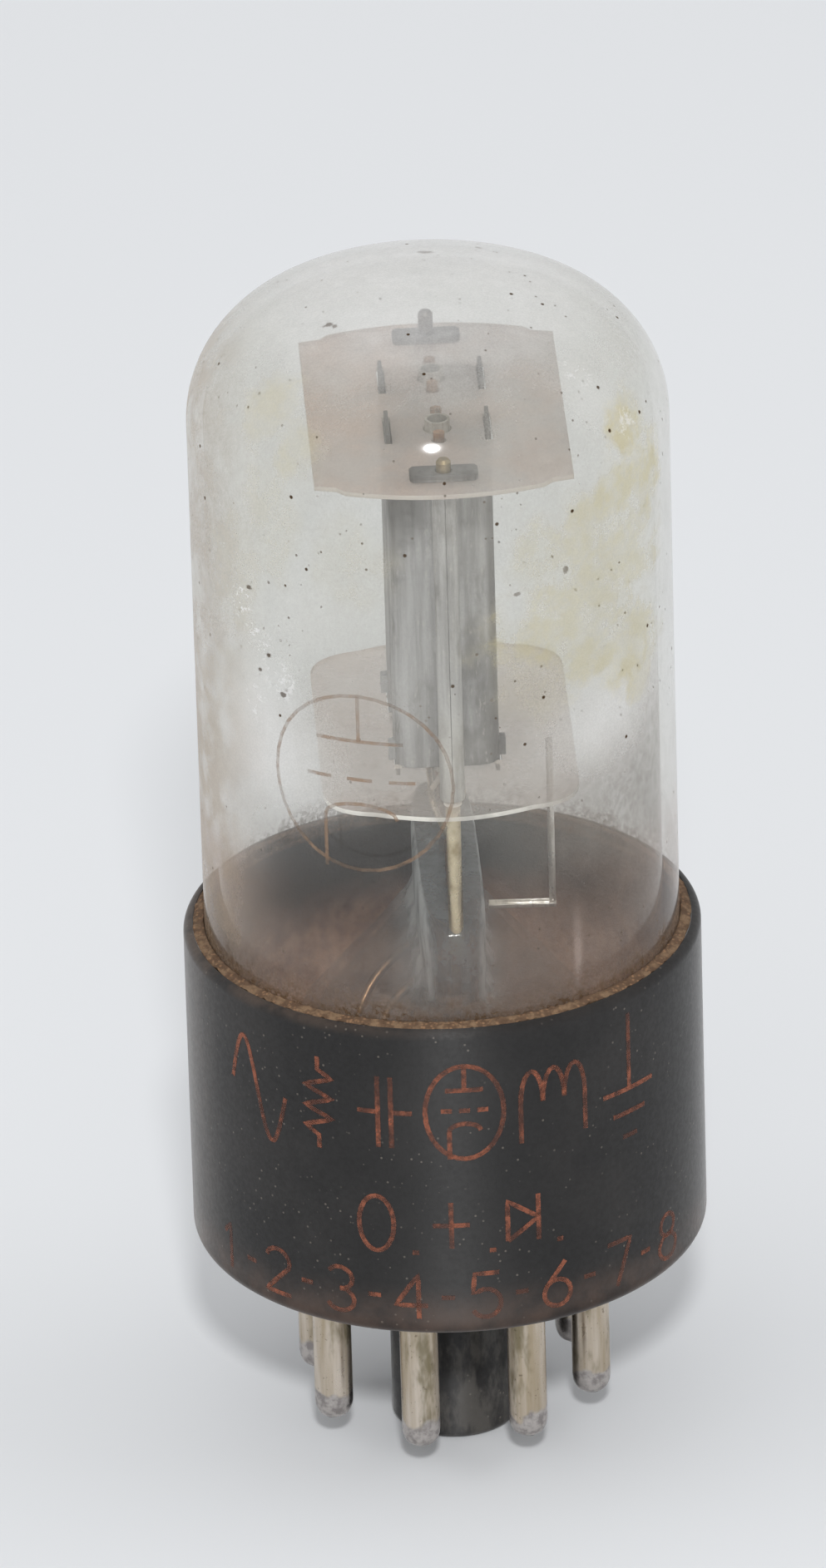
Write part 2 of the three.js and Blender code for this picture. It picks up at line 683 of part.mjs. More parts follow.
function gridWinding(unit) {
  const stepsPerTurn = 10;
  const halfY = GRID_ROD_Y + GRID_ROD_R + GRID_WIRE_R + 0.13;
  const curve = new OvalHelix(GRID_HALF_X, halfY, GRID_BOTTOM_Z, GRID_TOP_Z, GRID_PITCH);
  const steps = Math.round(((GRID_TOP_Z - GRID_BOTTOM_Z) / GRID_PITCH) * stepsPerTurn);
  return wireAlong(curve, GRID_WIRE_R, 4, steps).translate(0, unit.centreY, 0);
}

function gridRod(y) {
  return rod(GRID_ROD_R, GRID_ROD_BOTTOM_Z, GRID_ROD_TOP_Z, 0, y, 8);
}

for (const unit of UNITS) {
  add(cage, `anode_${unit.name}_left`, anodeHalf(unit, -1), 'anode');
  add(cage, `anode_${unit.name}_right`, anodeHalf(unit, 1), 'anode');
  add(cage, `anode_rod_${unit.name}`, anodeRod(unit), 'nickel');
  add(cage, `rod_clip_${unit.name}`, rodClip(unit), 'anode');
  add(cage, `cathode_${unit.name}`, cathode(unit), 'cathode');
  add(cage, `heater_${unit.name}`, heater(unit), 'heater');
  add(cage, `grid_${unit.name}`, gridWinding(unit), 'nickel');
  for (const [end, sign] of [['inner', -1], ['outer', 1]]) {
    const y = unit.centreY + sign * unit.outward * GRID_ROD_Y;
    add(cage, `grid_rod_${unit.name}_${end}`, gridRod(y), 'lead');
  }
}

// ---------------------------------------------------------------- inner connections

const JOINT_Z = LEAD_TOP_Z + 0.15;
const TOUCH = WIRE_R + CLEARANCE;

// A strap from the lead in the press up to a vertical member, ending beside it.
function strap(fromY, besideY, topZ) {
  return wire([
    [0, fromY, JOINT_Z],
    [0, THREE.MathUtils.lerp(fromY, besideY, 0.3), JOINT_Z + (topZ - JOINT_Z) * 0.4],
    [0, besideY, topZ - 1],
    [0, besideY, topZ],
  ], WIRE_R, 8);
}

function pressYOf(number) {
  return LEADS.find((lead) => lead.pin === number).pressY;
}

const [frontUnit, rearUnit] = UNITS;
const GRID_BESIDE = GRID_ROD_Y + GRID_ROD_R + TOUCH;
const CATHODE_BESIDE = CATHODE_R + TOUCH;
const ROD_BESIDE = ROD_Y - ROD_R - TOUCH;
const STRAPS = [
  ['anode_strap_front', 5, -ROD_BESIDE, ANODE_STRAP_TOP_Z],
  ['anode_strap_rear', 2, ROD_BESIDE, ANODE_STRAP_TOP_Z],
  ['grid_strap_front', 4, frontUnit.centreY - GRID_BESIDE, STRAP_TOP_Z],
  ['grid_strap_rear', 1, rearUnit.centreY + GRID_BESIDE, STRAP_TOP_Z],
  ['cathode_strap_front', 6, frontUnit.centreY - CATHODE_BESIDE, STRAP_TOP_Z],
  ['cathode_strap_rear', 3, rearUnit.centreY - CATHODE_BESIDE, STRAP_TOP_Z],
];
for (const [name, number, besideY, topZ] of STRAPS) {
  add(cage, name, strap(pressYOf(number), besideY, topZ), 'nickel');
}

// Each heater bus runs from its lead to one leg of both heaters.
function heaterBus(side, fromY, farY) {
  const towards = Math.sign(farY - fromY);
  const x = side * HEATER_FOOT_X;
  return wire([
    [0, fromY, JOINT_Z],
    [side * 0.7, fromY, BUS_Z - 1.15],
    [x, fromY + towards * 0.4, BUS_Z - 0.3],
    [x, fromY + towards * 1.6, BUS_Z],
    [x, farY, BUS_Z],
  ], WIRE_R, 12);
}

add(cage, 'heater_bus_left', heaterBus(-1, pressYOf(7), rearUnit.centreY), 'nickel');
add(cage, 'heater_bus_right', heaterBus(1, pressYOf(8), frontUnit.centreY), 'nickel');

// ---------------------------------------------------------------- getter

function getterSupport() {
  return wire([
    [GETTER_X, GETTER_Y, BOTTOM_MICA_Z - CLEARANCE],
    [GETTER_X, GETTER_Y, 42],
    [GETTER_X, GETTER_Y, GETTER_Z + TRAY_HEIGHT + CLEARANCE],
  ], GETTER_WIRE_R, 4, 6);
}

// A short channel that held the getter charge, open upward.
function getterTray() {
  const half = TRAY_WIDTH / 2;
  const wall = 0.15;
  const channel = new THREE.Shape([
    new THREE.Vector2(-half, TRAY_HEIGHT),
    new THREE.Vector2(-half, 0),
    new THREE.Vector2(half, 0),
    new THREE.Vector2(half, TRAY_HEIGHT),
    new THREE.Vector2(half - wall, TRAY_HEIGHT),
    new THREE.Vector2(half - wall, wall),
    new THREE.Vector2(wall - half, wall),
    new THREE.Vector2(wall - half, TRAY_HEIGHT),
  ]);
  const depth = TRAY_END_X - TRAY_START_X;
  const geometry = new THREE.ExtrudeGeometry(channel, { depth, bevelEnabled: false });
  geometry.rotateX(Math.PI / 2);
  geometry.rotateZ(Math.PI / 2);
  return geometry.translate(TRAY_START_X, GETTER_Y, GETTER_Z);
}

add(cage, 'getter_support', getterSupport(), 'nickel');
add(cage, 'getter_tray', getterTray(), 'nickel');

export default tube;
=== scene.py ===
"""The looks of an octal-based glass dual triode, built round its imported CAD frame.

Lengths are in millimetres, except inside the materials, where places are in metres.
"""

import json
import math
import random

import bmesh
import bpy
from mathutils import Matrix, Vector, noise


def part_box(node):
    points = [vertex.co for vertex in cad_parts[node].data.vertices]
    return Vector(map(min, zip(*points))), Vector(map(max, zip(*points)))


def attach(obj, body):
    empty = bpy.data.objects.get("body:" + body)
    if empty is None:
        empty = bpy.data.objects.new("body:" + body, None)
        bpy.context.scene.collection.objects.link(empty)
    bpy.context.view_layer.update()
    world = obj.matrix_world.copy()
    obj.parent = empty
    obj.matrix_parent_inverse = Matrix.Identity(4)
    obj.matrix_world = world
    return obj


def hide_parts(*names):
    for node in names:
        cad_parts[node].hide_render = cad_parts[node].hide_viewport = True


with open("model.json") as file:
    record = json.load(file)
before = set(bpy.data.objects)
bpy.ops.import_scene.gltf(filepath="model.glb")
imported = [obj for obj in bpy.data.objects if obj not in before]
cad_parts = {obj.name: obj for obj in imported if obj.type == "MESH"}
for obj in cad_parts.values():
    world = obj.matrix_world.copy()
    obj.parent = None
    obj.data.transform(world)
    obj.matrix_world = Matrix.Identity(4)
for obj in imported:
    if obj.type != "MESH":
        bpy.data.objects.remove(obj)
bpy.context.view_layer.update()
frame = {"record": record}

MM = 0.001
rng = random.Random(7)

# ---- values read from the frame


def corners(node):
    low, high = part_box(node)
    return low / MM, high / MM


def centre(node):
    low, high = corners(node)
    return (low + high) / 2


def heights(node):
    low, high = corners(node)
    return low.z, high.z


SEAT_Z = next(m for m in frame["record"]["mounts"] if m["name"] == "seat_face")["pos_m"][2] / MM
BASE_R, _, RIM_Z = corners("octal_base")[1]
BULB_R = corners("glass_bulb")[1].x
BULB_END_Z, APEX_Z = heights("glass_bulb")
FRONT_ROD = centre("anode_rod_front")
REAR_ROD = centre("anode_rod_rear")
CAGE_MIDDLE = ((FRONT_ROD + REAR_ROD) / 2).xy
ROD_Y = (REAR_ROD.xy - FRONT_ROD.xy).length / 2
CAGE_BACK = (REAR_ROD.xy - FRONT_ROD.xy).normalized()
CAGE_RIGHT = Vector((CAGE_BACK.y, -CAGE_BACK.x))
KEY_DIRECTION = -((centre("pin_4").xy + centre("pin_5").xy) / 2).normalized()

# ---- sizes that a box doesn't give

GLASS_T = 1.0
SHOULDER_Z = 68.18
SHOULDER_R = 7.82
TUCK_Z = 27.0
BULB_END_R = 11.0
BORE_R = 14.9
MOUTH_CHAMFER_R = 0.4
MOUTH_CHAMFER_Z = 0.8
LEDGE_Z = 19.0
LEDGE_R = 13.0
FLOOR_Z = 16.2
SPIGOT_R = 3.94
KEY_WIDTH = 2.2
KEY_ROOT_R = 3.2
KEY_REACH_R = 5.2
KEY_EDGE_R = 0.5
PIN_R = 1.18
SHEET_T = 0.25
ROD_R = 0.45
WIRE_R = 0.2
LEAD_R = 0.3
DRAWN = 0.95
GAP = 0.05  # between neighbours
ANODE_HALF_WIDTH = 3.15
ANODE_HALF_DEPTH = 2.75
ANODE_CORNER_R = 1.3
EAR_LENGTH = 3.6
GRID_ROD_Y = 1.7
GRID_ROD_R = 0.35
CATHODE_R = 0.75
MICA_HALF_WIDTH = 7.75
MICA_CORNER_Y = 10.3
MICA_END_Y = 12.35
PRESS_HALF_LENGTH = 10.6
PRESS_HALF_THICKNESS = 2.0
PINCH_START_Z = 27.0
PINCH_END_Z = 33.5
STEM_R = 9.3


def in_cage(x, y, z):
    """A point given in the cage's own turned frame, in the row frame."""
    return Vector((*cage_plan(x, y), z))


def cage_plan(x, y):
    return CAGE_MIDDLE + CAGE_RIGHT * x + CAGE_BACK * y


def to_cage_y(node):
    return (centre(node).xy - CAGE_MIDDLE).dot(CAGE_BACK)


# Each triode's place along the cage, and the direction that its outside faces.
UNITS = {"front": (to_cage_y("cathode_front"), -1), "rear": (to_cage_y("cathode_rear"), 1)}

# ---- camera

CAMERA_TARGET = Vector((-1.537, 0, 43.45)) * MM
CAMERA_DISTANCE = 0.9
CAMERA_ELEVATION = math.radians(26.35)
CAMERA_ROLL = math.radians(-1.68)
CAMERA_LENS = 339.2


def add_camera():
    data = bpy.data.cameras.new("camera")
    data.lens = CAMERA_LENS
    data.sensor_width = 36
    data.clip_start = 0.01
    camera = link("camera", data)
    back = Vector((0, -math.cos(CAMERA_ELEVATION), math.sin(CAMERA_ELEVATION)))
    camera.location = CAMERA_TARGET + back * CAMERA_DISTANCE
    turn = back.to_track_quat("Z", "Y").to_matrix().to_4x4()
    camera.rotation_euler = (turn @ Matrix.Rotation(CAMERA_ROLL, 4, "Z")).to_euler()
    bpy.context.scene.camera = camera


# ---- mesh helpers


def link(name, data):
    obj = bpy.data.objects.new(name, data)
    bpy.context.scene.collection.objects.link(obj)
    return obj


def smoothed(name, mesh, angle):
    """An object whose faces are smooth up to an edge angle."""
    for polygon in mesh.polygons:
        polygon.use_smooth = True
    mesh.set_sharp_from_angle(angle=math.radians(angle))
    return link(name, mesh)


def mesh_object(name, points, faces, smooth_angle=35):
    """An object from points in millimetres."""
    mesh = bpy.data.meshes.new(name)
    mesh.from_pydata([Vector(p) * MM for p in points], [], faces)
    mesh.update()
    return smoothed(name, mesh, smooth_angle)


def fix_normals(obj):
    work = bmesh.new()
    work.from_mesh(obj.data)
    bmesh.ops.recalc_face_normals(work, faces=work.faces)
    work.to_mesh(obj.data)
    work.free()
    return obj


def arc(centre_r, centre_z, radius_r, radius_z, start, end, steps=14):
    """Profile points on an elliptical arc, angles in degrees from the radius axis."""
    turns = [math.radians(start + (end - start) * i / steps) for i in range(steps + 1)]
    return [(centre_r + radius_r * math.cos(t), centre_z + radius_z * math.sin(t)) for t in turns]


def around(radius, angle, z):
    """A point by its angle from the front, positive to the right."""
    return Vector((radius * math.sin(angle), -radius * math.cos(angle), z))


def lathe(name, profile, sides, closed=False, shape=None, smooth_angle=35):
    """Turns a profile of (radius, z) about Z. shape moves each finished point. Outside listed top down."""
    points, rings = [], []
    for radius, z in profile:
        count = 1 if radius < 1e-9 else sides
        rings.append([len(points) + i for i in range(count)])
        points += [around(radius, 2 * math.pi * i / sides, z) for i in range(count)]
    if closed:
        rings.append(rings[0])
    faces = []
    for upper, lower in zip(rings, rings[1:]):
        for i in range(sides):
            j = (i + 1) % sides
            corners_of_face = ((upper, i), (lower, i), (lower, j), (upper, j))
            face = list(dict.fromkeys(ring[k % len(ring)] for ring, k in corners_of_face))
            if len(face) > 2:
                faces.append(face)
    return mesh_object(name, [shape(p) for p in points] if shape else points, faces, smooth_angle)


def skin(rings, count, caps, start=0):
    """Faces over rings of count points each. caps are the faces of the first end, repeated at the last."""
    last = start + (rings - 1) * count
    faces = []
    for low in range(start, last, count):
        for i in range(count):
            j = (i + 1) % count
            faces.append([low + i, low + j, low + count + j, low + count + i])
    faces += [[start + i for i in cap] for cap in caps]
    return faces + [[last + i for i in (cap[0], *cap[:0:-1])] for cap in caps]


def curve_to_mesh(name, data, smooth_angle, z=0):
    source = link(name + "_curve", data)
    source.location.z = z * MM
    bpy.context.view_layer.update()
    solid = source.evaluated_get(bpy.context.evaluated_depsgraph_get())
    mesh = bpy.data.meshes.new_from_object(solid)
    mesh.transform(source.matrix_world)
    bpy.data.objects.remove(source)
    return smoothed(name, mesh, smooth_angle)


def plate(name, outline, holes, bottom_z, top_z, bevel=0.03):
    """A flat sheet with holes, from outlines in the row frame."""
    data = bpy.data.curves.new(name, "CURVE")
    data.dimensions = "2D"
    data.fill_mode = "BOTH"
    for loop in (outline, *holes):
        spline = data.splines.new("POLY")
        spline.points.add(len(loop) - 1)
        for point, place in zip(spline.points, loop):
            point.co = (place[0] * MM, place[1] * MM, 0, 1)
        spline.use_cyclic_u = True
    data.extrude = ((top_z - bottom_z) / 2 - bevel) * MM
    data.bevel_depth = bevel * MM
    data.bevel_resolution = 1
    data.offset = -bevel * MM
    return curve_to_mesh(name, data, 30, (top_z + bottom_z) / 2)


def wire(name, points, radius, smooth=True, resolution=4):
    """A round wire through points in the row frame, with closed ends."""
    data = bpy.data.curves.new(name, "CURVE")
    data.dimensions = "3D"
    data.bevel_depth = radius * MM
    data.bevel_resolution = resolution
    data.use_fill_caps = True
    data.resolution_u = 10
    spline = data.splines.new("BEZIER" if smooth else "POLY")
    knots = spline.bezier_points if smooth else spline.points
    knots.add(len(points) - 1)
    for knot, place in zip(knots, points):
        place = Vector(place) * MM
        knot.co = place if smooth else (*place, 1)
        if smooth:
            knot.handle_left_type = knot.handle_right_type = "AUTO"
    return curve_to_mesh(name, data, 40)


def bent_sheet(name, path, bottom_z, top_z, levels=25):
    """A sheet bent along a plan path in the cage frame."""
    count = len(path)
    sides = []
    for sign in (1, -1):
        side = []
        for i, point in enumerate(path):
            along = (path[min(i + 1, count - 1)] - path[max(i - 1, 0)]).normalized()
            side.append(point + Vector((-along.y, along.x)) * sign * SHEET_T / 2)
        sides.append(side)
    ring = sides[0] + sides[1][::-1]
    total = len(ring)
    rises = [bottom_z + (top_z - bottom_z) * i / (levels - 1) for i in range(levels)]
    points = [in_cage(x, y, z) for z in rises for x, y in ring]
    caps = [[i, total - 1 - i, total - 2 - i, i + 1] for i in range(count - 1)]
    return fix_normals(mesh_object(name, points, skin(levels, total, caps)))


def soften(obj, width):
    """Rounds the edges of a finished piece."""
    modifier = obj.modifiers.new("edges", "BEVEL")
    modifier.width = width * MM
    modifier.segments = 2
    modifier.limit_method = "ANGLE"
    modifier.angle_limit = math.radians(40)
    return obj


def join(name, objects):
    """One object from several meshes, kept as separate shells."""
    points, faces = [], []
    for obj in objects:
        start = len(points)
        points += [v.co / MM for v in obj.data.vertices]
        faces += [[start + i for i in f.vertices] for f in obj.data.polygons]
        bpy.data.objects.remove(obj)
    return mesh_object(name, points, faces)


def cage_block(low, high):
    """A box between two corners in the cage's frame."""
    xs, ys, zs = zip(low, high)
    points = [in_cage(x, y, z) for z in zs for y in ys for x in xs]
    faces = [[0, 2, 3, 1], [4, 5, 7, 6], [0, 1, 5, 4], [2, 6, 7, 3], [0, 4, 6, 2], [1, 3, 7, 5]]
    return mesh_object("block", points, faces)


def finish(obj, look, slot, *nodes):
    """Gives a piece its material and body, and hides the CAD nodes that it stands for. slot is not used."""
    obj.data.materials.append(look)
    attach(obj, "root")
    if nodes:
        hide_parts(*nodes)


# ---- material helpers


class Signal:
    """A node's output. Arithmetic on it adds math nodes."""

    def __init__(self, look, socket):
        self.look = look
        self.socket = socket

    def __add__(self, other):
        return self.look.math("ADD", self, other)

    def __mul__(self, other):
        return self.look.math("MULTIPLY", self, other)

    def __sub__(self, other):
        return self.look.math("SUBTRACT", self, other)

    def __rsub__(self, other):
        return self.look.math("SUBTRACT", other, self)

    def most(self, other):
        return self.look.math("MAXIMUM", self, other)

    def remap(self, low, high, to_low=0.0, to_high=1.0, kind="SMOOTHSTEP"):
        inputs = {"Value": self, "From Min": low, "From Max": high, "To Min": to_low, "To Max": to_high}
        return self.look.add("MapRange", inputs, "Result", interpolation_type=kind)

    def under(self, share, *colour):
        """This colour, painted over with a display colour where share is 1."""
        return self.look.mix(share, self, colour)


class Look:
    """A node material being built. Most methods add a node and return its output."""

    def __init__(self, name):
        self.material = bpy.data.materials.new(name)
        self.material.use_nodes = True
        self.tree = self.material.node_tree
        self.tree.nodes.clear()
        self.output = self.tree.nodes.new("ShaderNodeOutputMaterial")
        self.place = self.add("TexCoord", output="Object")

    def add(self, kind, inputs=None, output=0, **settings):
        node = self.tree.nodes.new("ShaderNode" + kind)
        for key, value in settings.items():
            setattr(node, key, value)
        for key, value in (inputs or {}).items():
            if isinstance(value, Signal):
                self.tree.links.new(value.socket, node.inputs[key])
            else:
                node.inputs[key].default_value = value
        return Signal(self, node.outputs[output])

    def math(self, operation, first, second, clamp=False):
        return self.add("Math", {0: first, 1: second}, operation=operation, use_clamp=clamp)

    def along(self, axis, place=None):
        return self.add("SeparateXYZ", {0: place or self.place}, axis)

    def scaled(self, place, *scale):
        return self.add("VectorMath", {0: place, 1: scale}, operation="MULTIPLY")

    def away_from(self, middle, tall):
        """Distance from a point in metres, with heights scaled by tall first."""
        away = self.add("VectorMath", {0: self.place, 1: tuple(middle)}, operation="SUBTRACT")
        return self.add("VectorMath", {0: self.scaled(away, 1, 1, tall)}, "Value", operation="LENGTH")

    def noise(self, size, detail=3, rough=0.55, *scale):
        """Noise whose features are about size millimetres across, on a place scaled along each axis."""
        place = self.scaled(self.place, *scale) if scale else self.place
        inputs = {"Vector": place, "Scale": 1000 / size, "Detail": detail, "Roughness": rough}
        return self.add("TexNoise", inputs, "Fac")

    def cells(self, size):
        return self.add("TexVoronoi", {"Vector": self.place, "Scale": 1000 / size}, "Distance")

    def mix(self, share, *colours):
        """A colour between two, each a node's or a display colour."""
        first, second = (c if isinstance(c, Signal) else rgb(*c) for c in colours)
        return self.add("Mix", {0: share, 6: first, 7: second}, 2, data_type="RGBA")

    def bump(self, height, strength, depth):
        return self.add("Bump", {"Height": height, "Strength": strength, "Distance": depth * MM}, "Normal")

    def principled(self, **inputs):
        return self.add("BsdfPrincipled", {key.replace("_", " "): value for key, value in inputs.items()})

    def blend(self, share, first, second):
        """A mix of two shaders."""
        return self.add("MixShader", {0: share, 1: first, 2: second})

    def film(self, colour, rough):
        """Dust or dirt that also lets some light through."""
        dust = self.add("BsdfDiffuse", {"Color": colour, "Roughness": rough})
        return self.blend(0.4, dust, self.add("BsdfTranslucent", {"Color": colour}))

    def clear_glass(self, rough, *tint):
        """Thin clear glass: seen straight through, with a reflection that grows towards the edges."""
        grazing = self.add("LayerWeight", {"Blend": 0.5}, "Facing")
        fresnel = self.math("POWER", grazing, 5).remap(0, 1, 0.035, 0.9, kind="LINEAR")
        through = self.add("BsdfTransparent", {"Color": (*tint, 1)})
        shine = self.add("BsdfGlossy", {"Color": (1, 1, 1, 1), "Roughness": rough})
        return self.blend(fresnel, through, shine)

    def done(self, shader=None, **inputs):
        """The finished material, from a shader or from a principled shader's inputs."""
        self.tree.links.new((shader or self.principled(**inputs)).socket, self.output.inputs["Surface"])
        return self.material


def rgb(*channels):
    """A display colour of 0 to 255 a channel, as linear values and alpha."""
    shares = [c / 255 for c in channels]
    return (*(c / 12.92 if c <= 0.04045 else ((c + 0.055) / 1.055) ** 2.4 for c in shares), 1)


# ---- places on the bulb


def crown():
    """Radius and centre height of the bulb's flat top, and the angle where it meets the shoulder."""
    run, rise = BULB_R - SHOULDER_R, APEX_Z - SHOULDER_Z
    radius = (run * run + rise * rise - SHOULDER_R ** 2) / (2 * (rise - SHOULDER_R))
    return radius, APEX_Z - radius, math.atan2(SHOULDER_Z - APEX_Z + radius, run)


def bulb_radius(z):
    """Radius of the bulb's outside at a height."""
    if z <= SHOULDER_Z:
        return BULB_R
    radius, middle, meet = crown()
    if z > middle + radius * math.sin(meet):
        return math.sqrt(radius ** 2 - (z - middle) ** 2)
    return BULB_R - SHOULDER_R + math.sqrt(SHOULDER_R ** 2 - (z - SHOULDER_Z) ** 2)


def spots(look, places, ragged, edge=0.25, raggedness=0.9):
    """1 inside ragged spots on the bulb. Each is given as degrees from the front, z, half width, height
    over width and strength."""
    strongest = None
    for degrees, z, size, tall, strength in places:
        middle = around(bulb_radius(z), math.radians(degrees), z) * MM
        far = look.away_from(middle, 1 / tall) * (1000 / size) + (ragged - 0.5) * (raggedness * 2)
        one = far.remap(1 + edge, 1 - edge) * strength
        strongest = strongest.most(one) if strongest else one
    return strongest


# Marks on the bulb, as spots reads them.
RESIDUE = (
    (57, 70.6, 1.7, 1.2, 1.0), (61, 67.4, 2.1, 1.2, 1.0), (50, 67.2, 2.6, 0.8, 0.9),
    (39, 65.8, 2.8, 0.9, 0.75), (28, 64.6, 2.8, 1.0, 0.6), (50, 62.5, 4.2, 1.0, 0.8),
    (33, 60.5, 4.2, 1.0, 0.8), (54, 57.6, 3.2, 1.1, 0.85), (57, 54.6, 1.5, 1.5, 0.85),
    (24, 56.5, 2.4, 1.0, 0.35), (-47, 73.0, 2.0, 1.3, 0.5), (-35, 71.4, 1.8, 1.4, 0.55),
    (-40, 67.0, 2.2, 1.6, 0.35), (-22, 65.0, 2.6, 1.0, 0.3), (-54, 63.0, 2.6, 1.4, 0.3),
)
PALE_SMEARS = (
    (-62, 46.0, 6.0, 1.3, 0.28), (-48, 50.5, 5.0, 1.2, 0.34), (44, 52.5, 4.0, 0.8, 0.24),
    (48, 73.0, 1.6, 1.3, 0.12), (-16, 57.0, 3.5, 1.0, 0.08), (34, 37.7, 0.3, 8.0, 0.3),
)
INNER_SMEARS = (
    (50, 46, 5.0, 0.8, 0.9), (67, 45.5, 6.5, 0.9, 1.0), (27, 38.5, 5.0, 0.9, 0.45),
)
SCRATCHES = (
    (-52, 60.6, 1.1, 0.9, 0.9), (-46, 58.4, 1.0, 1.1, 0.9), (-40, 56.2, 1.1, 1.0, 0.8),
    (-48, 54.0, 0.9, 1.4, 0.6), (58, 70.9, 1.0, 1.0, 0.6), (50, 74.2, 1.0, 0.8, 0.6),
)
DARK_BITS = (
    (-49, 61.6, 0.22, 0.7, 0.8), (-43, 57.6, 0.26, 0.6, 0.9), (-39, 55.3, 0.24, 0.7, 0.8),
    (-46, 56.4, 0.18, 0.8, 0.8), (-53, 76.35, 0.32, 0.6, 0.75), (-49, 76.4, 0.18, 0.8, 0.7),
    (177, 77.18, 0.4, 0.5, 0.55), (150, 76.55, 0.25, 0.5, 0.5), (20, 62.6, 0.2, 0.6, 0.7),
    (33, 63.5, 0.16, 1.4, 0.7),
)

# ---- materials


def bakelite_look():
    look = Look("bakelite")
    grain = look.noise(0.35, 3, 0.7)
    height, side = look.along("Z"), look.along("X")
    colour = look.mix(look.noise(9, 4).remap(0.35, 0.7), (27, 26, 26), (40, 38, 37))
    specks = look.cells(0.55).remap(0.16, 0.1) * look.noise(4).remap(0.45, 0.6)
    colour = colour.under(specks * 0.35, 140, 132, 122)
    # Lighter down the left side: rubbed wear, with painted sheen along that edge.
    rub_and_sheen = side.remap(-0.0135, -0.0157) * look.noise(1.6, 6, 0.75).remap(0.3, 0.75, 0.25, 1)
    colour = colour.under(rub_and_sheen * 0.3, 120, 110, 102)
    # Browner round the top rim, most on the left: worn edge, with a painted highlight.
    rim = height.remap(0.0338, 0.0345) * side.remap(0.004, -0.012, 0.05, 0.5)
    colour = colour.under(rim * look.noise(1.6).remap(0.3, 0.7), 90, 76, 66)
    spigot = height.remap(0.0136, 0.0134)
    scuffs = look.noise(1.4, 4, 0.65, 1, 1, 0.4).remap(0.42, 0.62)
    colour = colour.under(spigot * scuffs * 0.4, 104, 100, 94)
    skirt = height.remap(0.0175, 0.0145) * look.noise(2.5, 4).remap(0.35, 0.65, 0.15, 0.5)
    colour = colour.under(skirt * height.remap(0.0136, 0.0138), 92, 74, 64)
    heel = height.remap(0.0137, 0.0152, 0.08, 0.5)
    return look.done(
        Base_Color=colour, Roughness=grain.remap(0.3, 0.7, 0.5, 0.62), Normal=look.bump(grain, 0.2, 0.04),
        Sheen_Weight=0.24, Sheen_Roughness=0.35, Specular_IOR_Level=heel.most(spigot * 0.6),
        Anisotropic=0.9, Anisotropic_Rotation=0.25,
        Tangent=look.add("Tangent", direction_type="RADIAL", axis="Z"),
    )


def cement_look():
    look = Look("cement")
    height = look.along("Z")
    brown = look.mix(look.noise(1.2, 4).remap(0.3, 0.7), (142, 102, 84), (188, 146, 122))
    # Near-black low down, deep in the gap between glass and base: painted shade.
    colour = brown.under((height + look.noise(6) * 0.004).remap(0.0285, 0.033), 26, 23, 22)
    crust = look.mix(look.cells(0.28).remap(0.1, 0.5), (142, 110, 82), (96, 74, 56))
    crust = crust.under(look.noise(0.8).remap(0.45, 0.65), 128, 104, 80)
    colour = look.mix(height.remap(0.0336, 0.034), colour, crust)
    return look.done(Base_Color=colour, Roughness=0.9, Normal=look.bump(look.noise(0.4, 4, 0.7), 0.8, 0.2))


def tarnish_look(name, clean, dull, rough):
    """Drawn metal with long streaks and dull patches."""
    look = Look(name)
    lines = look.noise(0.35, 3, 0.6, 1, 1, 1 / 14)
    patches = look.noise(2.2, 4, 0.6)
    colour = look.mix(patches.remap(0.42, 0.62), clean, dull)
    colour = colour.under(lines.remap(0.45, 0.75, 0, 0.4), 70, 62, 50)
    roughness = patches.remap(0.35, 0.7, rough, rough + 0.3)
    return look.done(Base_Color=colour, Metallic=0.9, Roughness=roughness, Normal=look.bump(lines, 0.2, 0.04))


def pin_look():
    """Worn plating: long greenish-brown streaks and small dark pits over dull silver."""
    look = Look("pin_plating")
    streaks = look.noise(0.7, 3, 0.5, 1, 1, 1 / 14)
    patches = look.noise(2.2, 4, 0.6, 1, 1, 0.35)
    colour = look.mix(streaks.remap(0.3, 0.7), (214, 203, 190), (178, 163, 140))
    colour = colour.under(patches.remap(0.52, 0.66, 0, 0.75), 116, 107, 78)
    colour = colour.under(look.noise(0.35, 3, 0.7).remap(0.63, 0.7) * 0.5, 84, 72, 56)
    coated = (look.along("Z") + look.noise(2.2, 2) * 0.0035).remap(0.0062, 0.0058)
    tin = look.mix(look.noise(0.5).remap(0.35, 0.65), (150, 144, 142), (190, 184, 180))
    rough = patches.remap(0.35, 0.65, 0.24, 0.42)
    bump = look.bump(streaks, 0.12, 0.05)
    return look.done(Base_Color=look.mix(coated, colour, tin), Metallic=1.0, Roughness=rough, Normal=bump)


def solder_look():
    look = Look("solder")
    lump = look.noise(0.6)
    colour = look.mix(lump.remap(0.35, 0.65), (112, 108, 104), (168, 166, 163))
    return look.done(Base_Color=colour, Metallic=0.7, Roughness=0.5, Normal=look.bump(lump, 0.5, 0.12))


